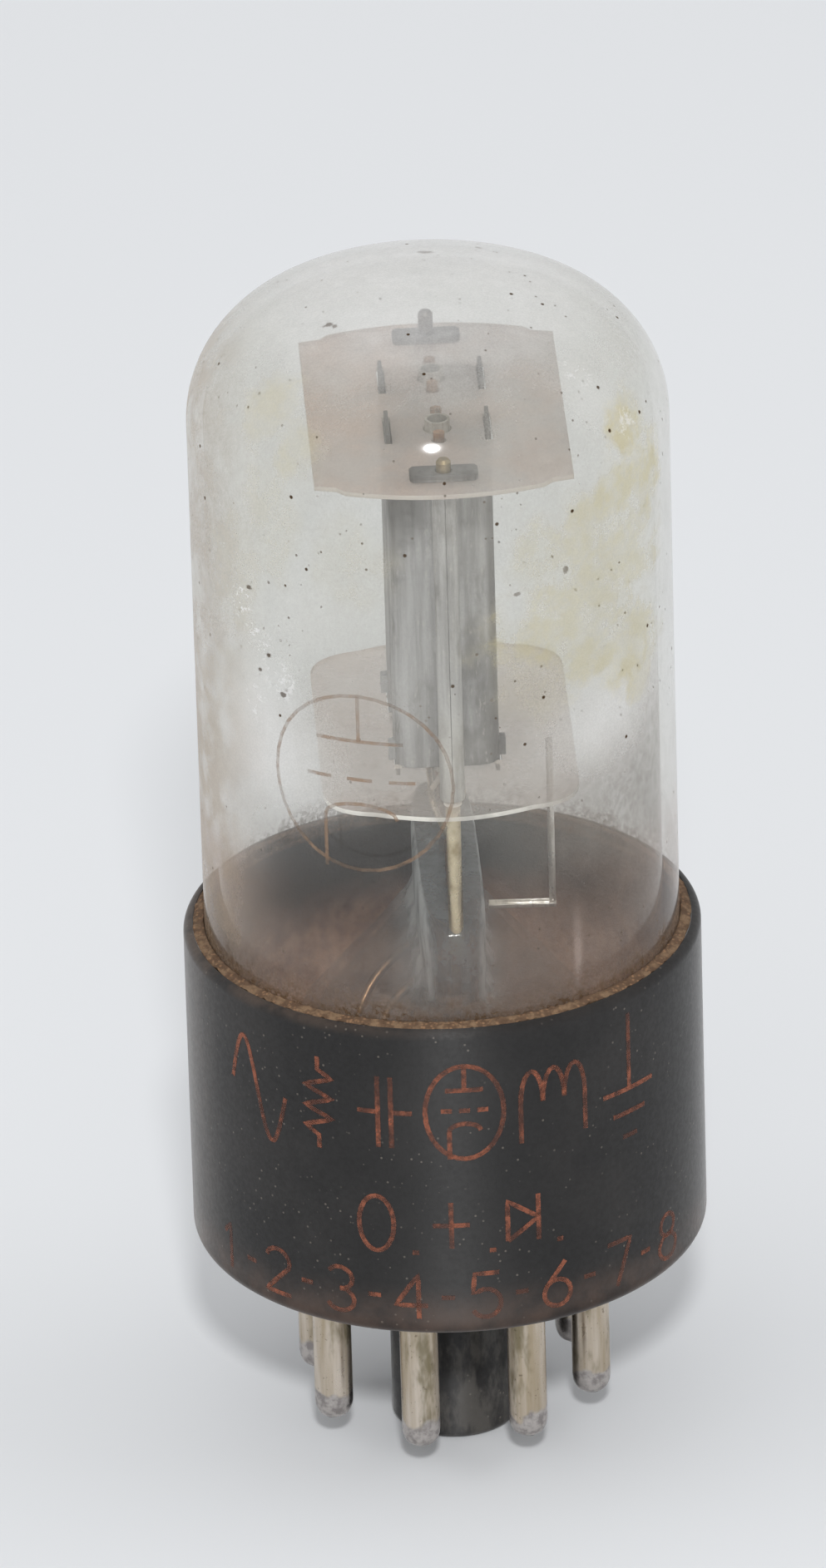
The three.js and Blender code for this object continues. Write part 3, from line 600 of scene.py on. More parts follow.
def anode_look():
    """Grey carbonised sheet, with painted shade down its right side, a painted shadow of the top mica on its
    upper left, darker ears above the mica, and a painted highlight down the crimp at the front.
    """
    look = Look("anode_sheet")
    lines = look.noise(0.5, 3, 0.55, 1, 1, 1 / 16)
    fine = look.noise(0.2, 3, 0.7, 1, 1, 1 / 4)
    patches = look.noise(3.5, 4, 0.6, 1, 1, 0.5)
    across, height = look.along("X"), look.along("Z")
    middle = FRONT_ROD.x
    mica_low, mica_high = [z * MM for z in heights("top_mica")]
    colour = look.mix(lines.remap(0.3, 0.72), (145, 144, 145), (184, 184, 186))
    colour = colour.under(patches.remap(0.5, 0.64, 0, 0.6), 84, 80, 76)
    colour = colour.under(fine.remap(0.56, 0.72, 0, 0.5), 205, 203, 198)
    # Painted shade down the right side, where the sheet turns round its corner.
    colour = colour.under(across.remap((middle + 2.2) * MM, (middle + 2.7) * MM, 0.0, 0.8), 84, 80, 77)
    # Painted shadow of the top mica over the upper left of the sheet.
    left = across.remap((middle - 0.6) * MM, (middle - 2.2) * MM, 0.0, 0.85)
    upper = (height + look.noise(2.5) * 0.006).remap(mica_low - 0.005, mica_low)
    colour = colour.under(left * upper, 78, 75, 72)
    # Painted highlight down the crimp at the front, stronger lower down.
    crimp = look.away_from(FRONT_ROD * MM, 0).remap(0.0012, 0.0007) * height.remap(0.056, 0.05, 0.1, 0.35)
    colour = colour.under(crimp * lines.remap(0.3, 0.6, 0.5, 1), 206, 200, 188)
    colour = colour.under(height.remap(mica_high, mica_high + 0.0003, 0, 0.7), 82, 80, 79)
    return look.done(Base_Color=colour, Metallic=0.15, Roughness=0.6, Normal=look.bump(lines, 0.2, 0.06))


def mica_look(name, edge_colour, warm, pale, thick, thin):
    """Half clear cloudy sheet, warmer at the left, with a bright cut edge. thick and thin are its cover."""
    look = Look(name)
    cloud = look.noise(5, 4, 0.6)
    grain = look.noise(0.35, 3, 0.7)
    flow = look.noise(2.2, 4, 0.6, 1, 0.5, 1)
    across = look.along("X").remap(-0.006, 0.004, 0, 0.6)
    share = look.math("ADD", cloud.remap(0.35, 0.65, 0, 0.7), across, clamp=True)
    colour = look.mix(share, warm, pale)
    colour = colour.under(flow.remap(0.5, 0.7, 0, 0.2), 210, 182, 168)
    colour = colour.under(grain.remap(0.4, 0.7, 0, 0.3), 204, 192, 184)
    surface = look.principled(Base_Color=colour, Roughness=0.5, Normal=look.bump(grain, 0.2, 0.03))
    sheet = look.blend(0.35, surface, look.add("BsdfTranslucent", {"Color": colour}))
    clear = look.add("BsdfTransparent", {"Color": (0.95, 0.92, 0.9, 1)})
    sheet = look.blend(cloud.remap(0.3, 0.7, thick, thin), clear, sheet)
    facing = look.add("TexCoord", output="Normal")
    edge = look.add("Math", {0: look.along("Z", facing)}, operation="ABSOLUTE").remap(0.75, 0.45)
    edge = edge * look.noise(3).remap(0.35, 0.6, 0.45, 1)
    bright = look.principled(Base_Color=rgb(*edge_colour), Roughness=0.35)
    return look.done(look.blend(edge, sheet, bright))


def outer_glass_look():
    """The outside of the bulb, with dust haze, yellowed residue, scratches and specks."""
    look = Look("bulb_outside")
    across, back, height = look.along("X"), look.along("Y"), look.along("Z")
    cloud = look.noise(7, 5, 0.62)
    grain = look.noise(0.12, 2, 0.6)
    mottle = look.noise(1.7, 4, 0.6)
    streak = look.noise(1.2, 3, 0.5, 1, 1, 0.3)
    ragged = look.noise(3.2, 5, 0.64)
    pale = spots(look, PALE_SMEARS, cloud, edge=0.9, raggedness=0.8)
    haze = cloud.remap(0.3, 0.7, 0.05, 0.19) + grain.remap(0.3, 0.75, 0, 0.08)
    haze = haze + mottle.remap(0.35, 0.7, 0, 0.05) + streak.remap(0.55, 0.8, 0, 0.05)
    haze = haze + height.remap(0.0695, 0.0765, 0, 0.18) + pale
    stain = spots(look, RESIDUE, ragged, edge=0.45, raggedness=1.3) * mottle.remap(0.35, 0.6, 0.6, 1)
    dusty = across.remap(-0.0095, -0.0145) * look.noise(2.5, 4).remap(0.3, 0.6, 0.35, 1)
    flaking = look.noise(0.7, 5, 0.75, 1, 1, 1.3).remap(0.53, 0.6)
    flakes = flaking * spots(look, SCRATCHES, ragged, edge=0.35)
    fine = look.cells(1.9).remap(0.075, 0.05).most(look.cells(1.1).remap(0.09, 0.06, 0, 0.8))
    fine = fine * look.noise(6).remap(0.42, 0.54)
    fine = fine.most(spots(look, DARK_BITS, look.noise(0.5, 4, 0.7), edge=0.3, raggedness=1.6))

    clean = look.mix(height.remap(0.0735, 0.077), (216, 214, 207), (250, 250, 250))
    clean = clean.under(look.math("MULTIPLY", pale, 4, clamp=True), 250, 250, 249)
    clean = clean.under(height.remap(0.0455, 0.041, 0, 0.7), 196, 166, 148)
    colour = clean.under(stain, 208, 198, 154).under(dusty * 0.8, 176, 158, 134)
    colour = colour.under(flakes, 246, 246, 246).under(fine, 84, 68, 52)
    rising = height + look.noise(2.4, 5, 0.7) * -0.0045
    grime = rising.remap(0.0351, 0.0322) * look.noise(0.35, 3, 0.7).remap(0.35, 0.6, 0.3, 1)
    colour = colour.under(grime, 112, 90, 70)

    cover = haze + stain * 0.4 + dusty * 0.24 + flakes * 0.45
    cover = look.math("ADD", cover, fine * 0.75, clamp=True)
    wiped = back.remap(-0.006, -0.012) * height.remap(0.0505, 0.0455, 0, 0.82)
    wiped = wiped * height.remap(0.0375, 0.042, 0.35, 1) * across.remap(0.0, 0.006, 1.0, 0.5)
    cover = (cover * (1.0 - wiped)).most(grime * 0.75) * height.remap(0.0336, 0.0345, 0.1, 1)
    return look.done(look.blend(cover, look.clear_glass(0.1, 0.95, 0.95, 0.935), look.film(colour, 0.5)))


def inner_glass_look():
    """The inside of the bulb, with the brown-grey getter film low down."""
    look = Look("bulb_inside")
    ragged = look.noise(5, 4, 0.6)
    low = (look.along("Z") + ragged * 0.008).remap(0.045, 0.036)
    grain = look.noise(0.7, 4, 0.7).remap(0.3, 0.7, 0.6, 1)
    smear = spots(look, INNER_SMEARS, ragged, edge=0.8, raggedness=0.6)
    share = look.math("ADD", low * 0.05 * grain, smear * 0.62 * grain, clamp=True)
    colour = look.mix(smear, (150, 124, 108), (120, 112, 106))
    film = look.add("BsdfDiffuse", {"Color": colour, "Roughness": 0.5})
    return look.done(look.blend(share, look.clear_glass(0.06, 0.97, 0.97, 0.96), film))


def stem_look():
    """Solid cloudy glass in the press, paler towards its outline as a painted rim light, and clear glass in
    the flare below it.
    """
    look = Look("stem_glass")
    waves = look.noise(3, 3, 0.5, 1, 1, 0.4)
    cloudy = look.noise(1.6, 4, 0.65).remap(0.35, 0.7, 0.3, 0.6)
    # Painted rim light: the film is paler and thicker where the surface turns away from the view.
    painted_rim_light = look.add("LayerWeight", {"Blend": 0.5}, "Facing").remap(0.45, 0.85, 0, 0.6)
    painted_rim_light = painted_rim_light * look.noise(2.5).remap(0.35, 0.6, 0.4, 1)
    solid = look.principled(
        Base_Color=rgb(216, 228, 231), Roughness=0.12, IOR=1.4, Transmission_Weight=1.0,
        Normal=look.bump(waves, 0.5, 0.4),
    )
    film = look.film(look.mix(painted_rim_light, (140, 147, 152), (212, 215, 216)), 0.4)
    upper = look.blend(look.math("ADD", cloudy, painted_rim_light, clamp=True), solid, film)
    lower = look.blend(0.05, look.clear_glass(0.08, 0.97, 0.97, 0.96), film)
    return look.done(look.blend(look.along("Z").remap(0.031, 0.034), lower, upper))


def ink_look(name, colour, cover):
    """Thin worn print, broken up where it has rubbed away."""
    look = Look(name)
    wear = look.noise(0.7, 4, 0.7) * 0.6 + look.noise(5, 2) * 0.4
    fresh = rgb(*colour)
    worn = (*(c * 0.6 for c in fresh[:3]), 1)
    shade = look.add("Mix", {0: wear.remap(0.4, 0.6), 6: fresh, 7: worn}, 2, data_type="RGBA")
    ink = look.principled(Base_Color=shade, Roughness=0.6)
    gone = look.add("BsdfTransparent", {"Color": (1, 1, 1, 1)})
    return look.done(look.blend(wear.remap(0.36, 0.56, cover, cover * 0.35), gone, ink))


def heater_look():
    look = Look("heater_coating")
    grain = look.noise(0.3, 3, 0.7)
    colour = look.mix(grain, (226, 222, 212), (200, 194, 184))
    return look.done(Base_Color=colour, Roughness=0.9, Normal=look.bump(grain, 0.4, 0.04))


def floor_look():
    look = Look("pale_floor")
    colour = look.mix(look.noise(120, 2), (229, 231, 234), (231, 233, 235))
    return look.done(Base_Color=colour, Roughness=0.8)


BAKELITE = bakelite_look()
CEMENT = cement_look()
PIN = pin_look()
NICKEL = tarnish_look("nickel_wire", (214, 206, 190), (178, 166, 142), 0.25)
RODS = {
    "front": tarnish_look("support_rod", (216, 202, 172), (170, 152, 118), 0.25),
    # The rear rod is the same metal as the front one, darkened as painted shade.
    "rear": tarnish_look("shaded_support_rod", (134, 130, 126), (96, 92, 88), 0.4),
}
COPPER = tarnish_look("copper_wire", (196, 152, 116), (140, 112, 88), 0.3)
LEADS = tarnish_look("lead_metal", (176, 138, 108), (108, 90, 74), 0.35)
SLEEVE = tarnish_look("cathode_sleeve", (210, 206, 198), (178, 172, 160), 0.4)
GETTER = tarnish_look("getter_metal", (244, 242, 238), (216, 212, 204), 0.22)
SOLDER = solder_look()
ANODE = anode_look()
TOP_MICA = mica_look("top_mica", (196, 188, 180), (226, 206, 195), (218, 214, 213), 0.74, 0.6)
BOTTOM_MICA = mica_look("bottom_mica", (238, 235, 230), (246, 234, 226), (250, 247, 245), 0.32, 0.2)
OUTSIDE = outer_glass_look()
INSIDE = inner_glass_look()
STEM = stem_look()
HEATER = heater_look()
PRINT = ink_look("base_print", (146, 84, 60), 0.78)
GLASS_PRINT = ink_look("bulb_print", (150, 122, 98), 0.55)

# ---- bulb, stem and cement


def bulb_wall(inset):
    """Outer or inner surface of the bulb, from the apex down to the rolled-in end."""
    crown_r, crown_z, meet = crown()
    meet = math.degrees(meet)
    top = arc(0, crown_z, crown_r - inset, crown_r - inset, 90, meet, 12)
    shoulder = arc(BULB_R - SHOULDER_R, SHOULDER_Z, SHOULDER_R - inset, SHOULDER_R - inset, meet, 0, 16)
    side = [(BULB_R - inset, SHOULDER_Z + (TUCK_Z - SHOULDER_Z) * i / 16) for i in range(1, 16)]
    roll = arc(BULB_END_R, TUCK_Z, BULB_R - BULB_END_R - inset, TUCK_Z - BULB_END_Z - inset, 0, -90, 12)
    top[0] = (0, top[0][1])
    return top + shoulder[1:] + side + roll


def make_bulb():
    outer, inner = bulb_wall(0), bulb_wall(GLASS_T)
    sides = 128
    bulb = lathe("bulb", outer + inner[::-1], sides)
    bulb.data.materials.append(OUTSIDE)
    finish(bulb, INSIDE, "bulb_glass", "glass_bulb")
    for polygon in bulb.data.polygons[(len(outer) - 1) * sides:]:
        polygon.material_index = 1


def pinch(point):
    """Flattens the round stem tube into the press towards its top."""
    share = min(max((point.z - PINCH_START_Z) / (PINCH_END_Z - PINCH_START_Z), 0), 1)
    share = share * share * (3 - 2 * share)
    radius = math.hypot(point.x, point.y)
    if radius < 1e-6:
        return Vector((*(CAGE_MIDDLE * share), point.z))
    power = 1 - 0.5 * share
    flat = 1 + (PRESS_HALF_THICKNESS / PRESS_HALF_LENGTH - 1) * share
    x = radius * flat * math.copysign(abs(point.x / radius) ** power, point.x)
    y = radius * math.copysign(abs(point.y / radius) ** power, point.y)
    turned = cage_plan(x, y) * share + Vector((x, y)) * (1 - share)
    return Vector((*turned, point.z))


def make_stem():
    end_z, top_z = heights("stem")
    half, inside_r, lip_r = PRESS_HALF_LENGTH, STEM_R - GLASS_T, BULB_END_R - 0.1
    profile = [
        (0, top_z + 0.05), (half * 0.5, top_z), (half - 1.2, top_z - 0.05),
        *arc(half - 1.2, top_z - 1.25, 1.2, 1.2, 85, 0, 6),
        (half - 0.05, 36), (half - 0.1, 34.6), (half - 0.25, PINCH_END_Z), (10.3, 32.4), (9.9, 31),
        (9.5, 29.6), (STEM_R, 28), (STEM_R, 26.5), (STEM_R, 25), (9.45, 23.4), (9.9, 22.3), (10.4, 21.7),
        (lip_r, 21.5), (lip_r, end_z), (10.0, end_z), (9.2, 21), (8.7, 22),
        (inside_r, 23.4), (inside_r, 28), (8.5, 29.6), (8.9, 31), (9.0, 32), (6, 32.5), (0, 32.6),
    ]
    stem = lathe("stem_press", profile, 96, shape=pinch, smooth_angle=50)
    finish(stem, STEM, "stem_glass", "stem")


def make_exhaust_tube():
    tip_z, top_z = heights("exhaust_tube")
    bore, outside = 1.1, 1.9
    profile = [
        (0, tip_z + 2.4), (bore * 0.7, tip_z + 2.7), (bore, tip_z + 3.4), (bore, top_z), (outside, top_z),
        (outside, tip_z + 2.4), (outside * 0.85, tip_z + 1.4), (outside * 0.45, tip_z + 0.5), (0, tip_z),
    ]
    finish(lathe("exhaust_stub", profile, 40), STEM, "stem_glass", "exhaust_tube")


def make_cement():
    """The filling between bulb and base, with a crumbly fillet on top against the glass."""
    roll = arc(BULB_END_R, TUCK_Z, BULB_R - BULB_END_R, TUCK_Z - BULB_END_Z, -52, 0, 10)
    glass_side, bore_side = BULB_R + GAP, BORE_R - GAP
    crest_width = BORE_R + MOUTH_CHAMFER_R - GAP - glass_side
    profile = [
        *[(radius + GAP, z - GAP) for radius, z in roll],
        *[(glass_side, TUCK_Z + (RIM_Z - TUCK_Z) * i / 12) for i in range(1, 12)],
        *[(glass_side + crest_width * i / 8, RIM_Z + 0.12 - 0.2 * (i / 8) ** 1.5) for i in range(9)],
        (bore_side, RIM_Z - MOUTH_CHAMFER_Z),
        *[(bore_side, RIM_Z + (LEDGE_Z - RIM_Z) * i / 8) for i in range(1, 8)],
        (bore_side, LEDGE_Z + GAP),
        (LEDGE_R + GAP, LEDGE_Z + GAP),
    ]

    def crumble(point):
        radius = math.hypot(point.x, point.y)
        if point.z < RIM_Z - 0.2 or radius < glass_side + 0.01:
            return point
        lift = 0.14 * noise.noise(point * 1.1) + 0.12 * noise.noise(point * 3.5 + Vector((9, 2, 5)))
        grow = 1 + lift * 0.5 / radius
        return Vector((point.x * grow, point.y * grow, point.z + abs(lift) * 1.3))

    cement = lathe("cement_ring", profile, 360, closed=True, shape=crumble)
    finish(fix_normals(cement), CEMENT, "cement", "basing_cement")


# ---- base and pins


def make_base():
    bore, edge_r, heel_r = 2.75, 0.55, 0.9
    profile = [
        (0, 1.5), (bore - 0.3, 1.5), (bore, 1.8), (bore, FLOOR_Z), (LEDGE_R, FLOOR_Z), (LEDGE_R, LEDGE_Z),
        (BORE_R, LEDGE_Z), (BORE_R, RIM_Z - MOUTH_CHAMFER_Z), (BORE_R + MOUTH_CHAMFER_R, RIM_Z),
        *arc(BASE_R - edge_r, RIM_Z - edge_r, edge_r, edge_r, 90, 0, 8),
        (BASE_R, RIM_Z - 3), (BASE_R, (RIM_Z + SEAT_Z) / 2), (BASE_R, SEAT_Z + 3),
        *arc(BASE_R - heel_r, SEAT_Z + heel_r, heel_r, heel_r, 0, -90, 8),
        (11.6, SEAT_Z), (11.4, SEAT_Z + 0.06), (SPIGOT_R + 1.3, SEAT_Z + 0.06), (SPIGOT_R + 1.1, SEAT_Z),
        (SPIGOT_R + 0.3, SEAT_Z), (SPIGOT_R, SEAT_Z - 0.3), (SPIGOT_R, 0.5),
        *arc(SPIGOT_R - 0.5, 0.5, 0.5, 0.5, 0, -90, 5),
        (SPIGOT_R - 1.2, 0), (SPIGOT_R - 1.35, 0.12), (0, 0.12),
    ]
    shell = lathe("base_shell", profile, 192)
    finish(join("octal_base_moulding", [shell, base_key()]), BAKELITE, "bakelite", "octal_base")


def base_key():
    """The rounded rib on the spigot, half way between the first and last pins."""
    side = Vector((-KEY_DIRECTION.y, KEY_DIRECTION.x))
    half, shoulder = KEY_WIDTH / 2, KEY_REACH_R - KEY_EDGE_R
    turns = [math.radians(degrees) for degrees in (-67, -45, -22, 0)]
    outline = [(KEY_ROOT_R, -half), (shoulder, -half)]
    outline += [(shoulder + KEY_EDGE_R * math.cos(t), KEY_EDGE_R * (1 + math.sin(t)) - half) for t in turns]
    outline += [(reach, -wide) for reach, wide in reversed(outline)]
    count = len(outline)
    levels = [(0.6, 0.75), (0.9, 0.95), (1.3, 1.0), (SEAT_Z + 0.2, 1.0)]
    points = []
    for z, scale in levels:
        for reach, wide in outline:
            flat = KEY_DIRECTION * (KEY_ROOT_R + (reach - KEY_ROOT_R) * scale) + side * wide * scale
            points.append(Vector((*flat, z)))
    cap = [0, *range(count - 1, 0, -1)]
    return fix_normals(mesh_object("key_rib", points, skin(len(levels), count, [cap])))


def make_pin(number):
    middle = centre(f"pin_{number}")
    tip_z, top_z = heights(f"pin_{number}")
    bore, hole, collar = 0.86, 0.6, 1.5
    profile = [
        (bore, top_z), (collar, top_z), (collar, top_z - 0.35), (PIN_R, top_z - 0.4), (PIN_R, 10),
        (PIN_R, tip_z + 1.2), *arc(hole, tip_z + 1.05, PIN_R - hole, 1.05, 0, -84, 8),
        (hole, tip_z + 0.02), (hole, tip_z + 0.35), (bore, tip_z + 1.1),
    ]

    def move(point):
        return Vector((point.x + middle.x, point.y + middle.y, point.z))

    pin = lathe(f"contact_{number}", profile, 40, closed=True, shape=move)
    finish(pin, PIN, "pin_plating", f"pin_{number}")
    low, high = heights(f"solder_tip_{number}")
    phases = [rng.uniform(0, 6.28) for _ in range(3)]

    def lump(point):
        turn = math.atan2(point.y, point.x)
        down = max(0, tip_z + 0.12 - point.z) * 0.5
        scale = 1 + down * (0.5 * math.sin(2 * turn + phases[0]) + 0.3 * math.sin(3 * turn + phases[1]))
        return move(Vector((point.x * scale, point.y * scale, point.z + 0.02 * math.sin(turn + phases[2]))))

    drop = [(0, high), (0.5, high), (0.55, high - 0.2), (0.56, tip_z + 0.12)]
    drop += [*arc(0, tip_z, 0.6, tip_z - low, 8, -90, 7)[:-1], (0, low)]
    solder = lathe(f"solder_drop_{number}", drop, 28, shape=lump)
    finish(solder, SOLDER, "solder", f"solder_tip_{number}")


# ---- cage


def ring(x, y, radius, steps=24):
    turns = [2 * math.pi * i / steps for i in range(steps)]
    return [cage_plan(x + radius * math.cos(t), y + radius * math.sin(t)) for t in turns]


def slot_hole(x, y, wide, long):
    return [cage_plan(x + a * wide / 2, y + b * long / 2) for a, b in ((-1, -1), (1, -1), (1, 1), (-1, 1))]


def mica_holes():
    gap = 2 * GAP
    ear_x, ear_wide, ear_long = ANODE_HALF_WIDTH - SHEET_T / 2, SHEET_T + 2 * gap, EAR_LENGTH + 2 * gap
    holes = []
    for unit_y, outward in UNITS.values():
        holes.append(ring(0, outward * ROD_Y, ROD_R + gap))
        holes.append(ring(0, unit_y, CATHODE_R + gap))
        for side in (-1, 1):
            holes.append(slot_hole(side * ear_x, unit_y, ear_wide, ear_long))
            holes.append(ring(0, unit_y + side * GRID_ROD_Y, GRID_ROD_R + gap, 16))
    return holes


def curve_to(start, control, end, steps=8):
    """Points of a quadratic curve, without its start."""
    weights = [((1 - t) ** 2, 2 * t * (1 - t), t * t) for t in (i / steps for i in range(1, steps + 1))]
    return [tuple(p * a + q * c + r * b for a, c, b in zip(start, control, end)) for p, q, r in weights]


def make_mica(name, node, quarter, look):
    """A spacer from its right rear quarter, listed from the side to the end."""
    rear = quarter + [(-x, y) for x, y in reversed(quarter[:-1])]
    outline = [cage_plan(x, y) for x, y in rear + [(x, -y) for x, y in reversed(rear)]]
    finish(plate(name, outline, mica_holes(), *heights(node)), look, "mica", node)


def make_micas():
    wide, corner_y, end = MICA_HALF_WIDTH, MICA_CORNER_Y, (0, MICA_END_Y)
    lobe = wide - 1.8
    step = [(wide, corner_y), (lobe + 0.5, corner_y + 0.35), (lobe, corner_y + 0.95)]
    make_mica("top_spacer", "top_mica", step + curve_to(step[-1], (lobe / 2, MICA_END_Y), end), TOP_MICA)
    corner, turn = (wide, corner_y - 2.3), (wide - 3, corner_y + 0.9)
    sweep = curve_to(corner, (wide, corner_y + 0.4), turn) + curve_to(turn, (2, MICA_END_Y), end)
    make_mica("bottom_spacer", "bottom_mica", [corner, *sweep], BOTTOM_MICA)


def anode_path(reach):
    """Plan of one stamped half for x > 0 and a unit whose outside faces -Y, reach away from its rod."""
    seam = SHEET_T / 2 + GAP / 2
    side = ANODE_HALF_WIDTH - SHEET_T / 2
    end = ANODE_HALF_DEPTH - SHEET_T / 2
    crimp = ROD_R + GAP + SHEET_T / 2
    corner = ANODE_CORNER_R
    seam_r = 0.25
    path = [(seam, end + 0.6), (seam, end + 0.2)]
    path += curve_to(path[-1], (seam, end), (seam + seam_r, end), 3)
    path.append((side - corner, end))
    path += curve_to(path[-1], (side, end), (side, end - corner))
    path.append((side, corner - end))
    path += curve_to(path[-1], (side, -end), (side - corner, -end))
    path.append((seam + seam_r, -end))
    path += curve_to(path[-1], (seam, -end), (seam, -end - seam_r), 3)
    start = math.pi / 2 - math.asin(seam / crimp)
    stop = math.asin(0.005 / crimp) - math.pi / 2
    for i in range(21):
        angle = start + (stop - start) * i / 20
        path.append((crimp * math.cos(angle), crimp * math.sin(angle) - reach))
    return path


def make_anode_half(unit, side_name, side):
    unit_y, outward = UNITS[unit]
    node = f"anode_{unit}_{side_name}"
    low_z, high_z = heights(node)
    bottom, top = heights("bottom_mica")[1] + 0.1, heights("top_mica")[0] - 0.1
    path = [Vector((side * x, unit_y - outward * y)) for x, y in anode_path(ROD_Y - outward * unit_y)]
    wall = soften(bent_sheet(node + "_wall", path, bottom, top), 0.05)
    x, half_t, half_l = side * (ANODE_HALF_WIDTH - SHEET_T / 2), SHEET_T * 0.49, EAR_LENGTH / 2
    ears = [
        cage_block((x - half_t, unit_y - half_l, low), (x + half_t, unit_y + half_l, high))
        for low, high in ((top - 1, high_z), (low_z, bottom + 1))
    ]
    x = side * (ANODE_HALF_WIDTH + 0.1)
    y = unit_y + outward * (ANODE_HALF_DEPTH - ANODE_CORNER_R - 0.4)
    foot = cage_block((x - 0.3, y - 0.4, bottom), (x + 0.3, y + 0.4, bottom + 1.1))
    shell = join(f"plate_{unit}_{side_name}", [wall, *ears, foot])
    finish(soften(shell, 0.06), ANODE, "anode_sheet", node)


def cage_lathe(name, profile, sides, y, closed=False):
    """A lathed piece stood on the cage's centre line."""
    return lathe(name, profile, sides, closed, lambda p: in_cage(p.x, p.y + y, p.z))


def make_rod(unit):
    node, clip_node = f"anode_rod_{unit}", f"rod_clip_{unit}"
    low_z, high_z = heights(node)
    y = UNITS[unit][1] * ROD_Y
    profile = [(0, high_z), (ROD_R * 0.7, high_z - 0.02), (ROD_R, high_z - 0.2)]
    profile += [(ROD_R, high_z - 0.2 - (high_z - low_z - 0.3) * i / 12) for i in range(1, 13)]
    rod = cage_lathe(f"support_{unit}", [*profile, (0, low_z)], 32, y)
    finish(rod, RODS[unit], "nickel_wire", node)
    octagon = ((-1, -0.6), (-0.9, -1), (0.9, -1), (1, -0.6), (1, 0.6), (0.9, 1), (-0.9, 1), (-1, 0.6))
    outline = [cage_plan(a * 2.05, y + b * 0.75) for a, b in octagon]
    hole = ring(0, y, ROD_R + GAP)
    clip = plate(f"lock_plate_{unit}", outline, [hole], *heights(clip_node), 0.05)
    finish(clip, ANODE, "anode_sheet", clip_node)


def make_cathode(unit):
    unit_y = UNITS[unit][0]
    low_z, high_z = heights(f"cathode_{unit}")
    bore = CATHODE_R - 0.15
    bead = [(CATHODE_R, high_z - 0.6), (CATHODE_R + 0.06, high_z - 0.75), (CATHODE_R, high_z - 0.9)]
    profile = [(bore, high_z), (CATHODE_R, high_z), *bead, (CATHODE_R, low_z), (bore, low_z)]
    sleeve = cage_lathe(f"sleeve_{unit}", profile, 36, unit_y, closed=True)
    finish(sleeve, SLEEVE, "cathode_sleeve", f"cathode_{unit}")
    leg, foot, middle_z = 0.27, 0.95, 56
    low_z, high_z = heights(f"heater_{unit}")
    foot_z, top_z = low_z + 0.12, high_z - 0.17
    up = [(-foot, foot_z), (-leg, foot_z + 1.2), (-leg, middle_z), (-leg, top_z - 0.5)]
    places = [*up, (0, top_z), *((-x, z) for x, z in reversed(up))]
    heater = wire(f"filament_{unit}", [in_cage(x, unit_y, z) for x, z in places], 0.17)
    finish(heater, HEATER, "heater_coating", f"heater_{unit}")


def make_grid(unit):
    unit_y, outward = UNITS[unit]
    low_z, high_z = heights(f"grid_{unit}")
    pitch, radius, steps, inset = 0.55, 0.06, 16, 0.15
    half_x, half_y = 1.3, GRID_ROD_Y + GRID_ROD_R + radius
    places = []
    for i in range(int((high_z - low_z - 2 * inset) / pitch * steps) + 1):
        angle = 2 * math.pi * i / steps
        x, y = half_x * math.cos(angle), unit_y + half_y * math.sin(angle)
        places.append(in_cage(x, y, low_z + inset + pitch * i / steps))
    helix = wire(f"winding_{unit}", places, radius, smooth=False, resolution=1)
    finish(helix, NICKEL, "nickel_wire", f"grid_{unit}")
    for end, sign in (("inner", -1), ("outer", 1)):
        node = f"grid_rod_{unit}_{end}"
        bottom_z, top_z = heights(node)
        y = unit_y + sign * outward * GRID_ROD_Y
        rod = wire(f"side_{node}", [in_cage(0, y, z) for z in (bottom_z, 50, 57, 64, top_z)], GRID_ROD_R)
        finish(soften(rod, 0.08), COPPER, "copper_rod", node)


# ---- leads and straps

JOINT_Z = heights("lead_1")[1] + 0.15
PRESS_Y = {5: -8.0, 4: -6.3, 6: -4.6, 7: -2.9, 3: 2.9, 8: 4.6, 1: 6.3, 2: 8.0}
DETOURS = {7: (3.8, -1.4, 27), 3: (-3.6, 1.6, 27), 2: (-4.6, 6.1, 26.5)}


def make_lead(number):
    node = f"lead_{number}"
    low_z, top_z = heights(node)
    x, y, _ = centre(f"pin_{number}")
    top_x, top_y = cage_plan(0, PRESS_Y[number])
    middle = (top_x * 0.5 + x * 0.4, top_y * 0.5 + y * 0.35, 26)
    places = [(top_x, top_y, z) for z in (top_z, 37, 33, 31.2)]
    places += [DETOURS.get(number, middle), (x * 0.8, y * 0.8, 20.5)]
    places += [(x, y, z) for z in (FLOOR_Z + 1.2, 12, low_z)]
    finish(wire(f"press_wire_{number}", places, LEAD_R * DRAWN), LEADS, "lead_wire", node)


def make_tie(node, places):
    tie = wire("tie_" + node, [in_cage(*place) for place in places], WIRE_R * DRAWN)
    finish(tie, NICKEL, "nickel_wire", node)


def make_strap(node, number):
    """From a lead's top up to the far end of the strap's own box."""
    low, high = corners(node)
    from_y = PRESS_Y[number]
    far_y = high.y if abs(high.y - from_y) > abs(low.y - from_y) else low.y
    beside = far_y - math.copysign(WIRE_R, far_y - from_y)
    if abs(beside - from_y) < 0.05:
        beside = from_y
    rise = high.z - JOINT_Z
    bend = (0, from_y + 0.3 * (beside - from_y), JOINT_Z + rise * 0.4)
    make_tie(node, [(0, from_y, JOINT_Z), bend, (0, beside, high.z - 1), (0, beside, high.z)])


def make_bus(node, side, number, far_y):
    from_y = PRESS_Y[number]
    towards = math.copysign(1, far_y - from_y)
    x, run_z = side * 0.95, 44.05
    start = [(0, from_y, JOINT_Z), (side * 0.7, from_y, 42.9), (x, from_y + towards * 0.4, 43.75)]
    make_tie(node, [*start, (x, from_y + towards * 1.6, run_z), (x, far_y, run_z)])


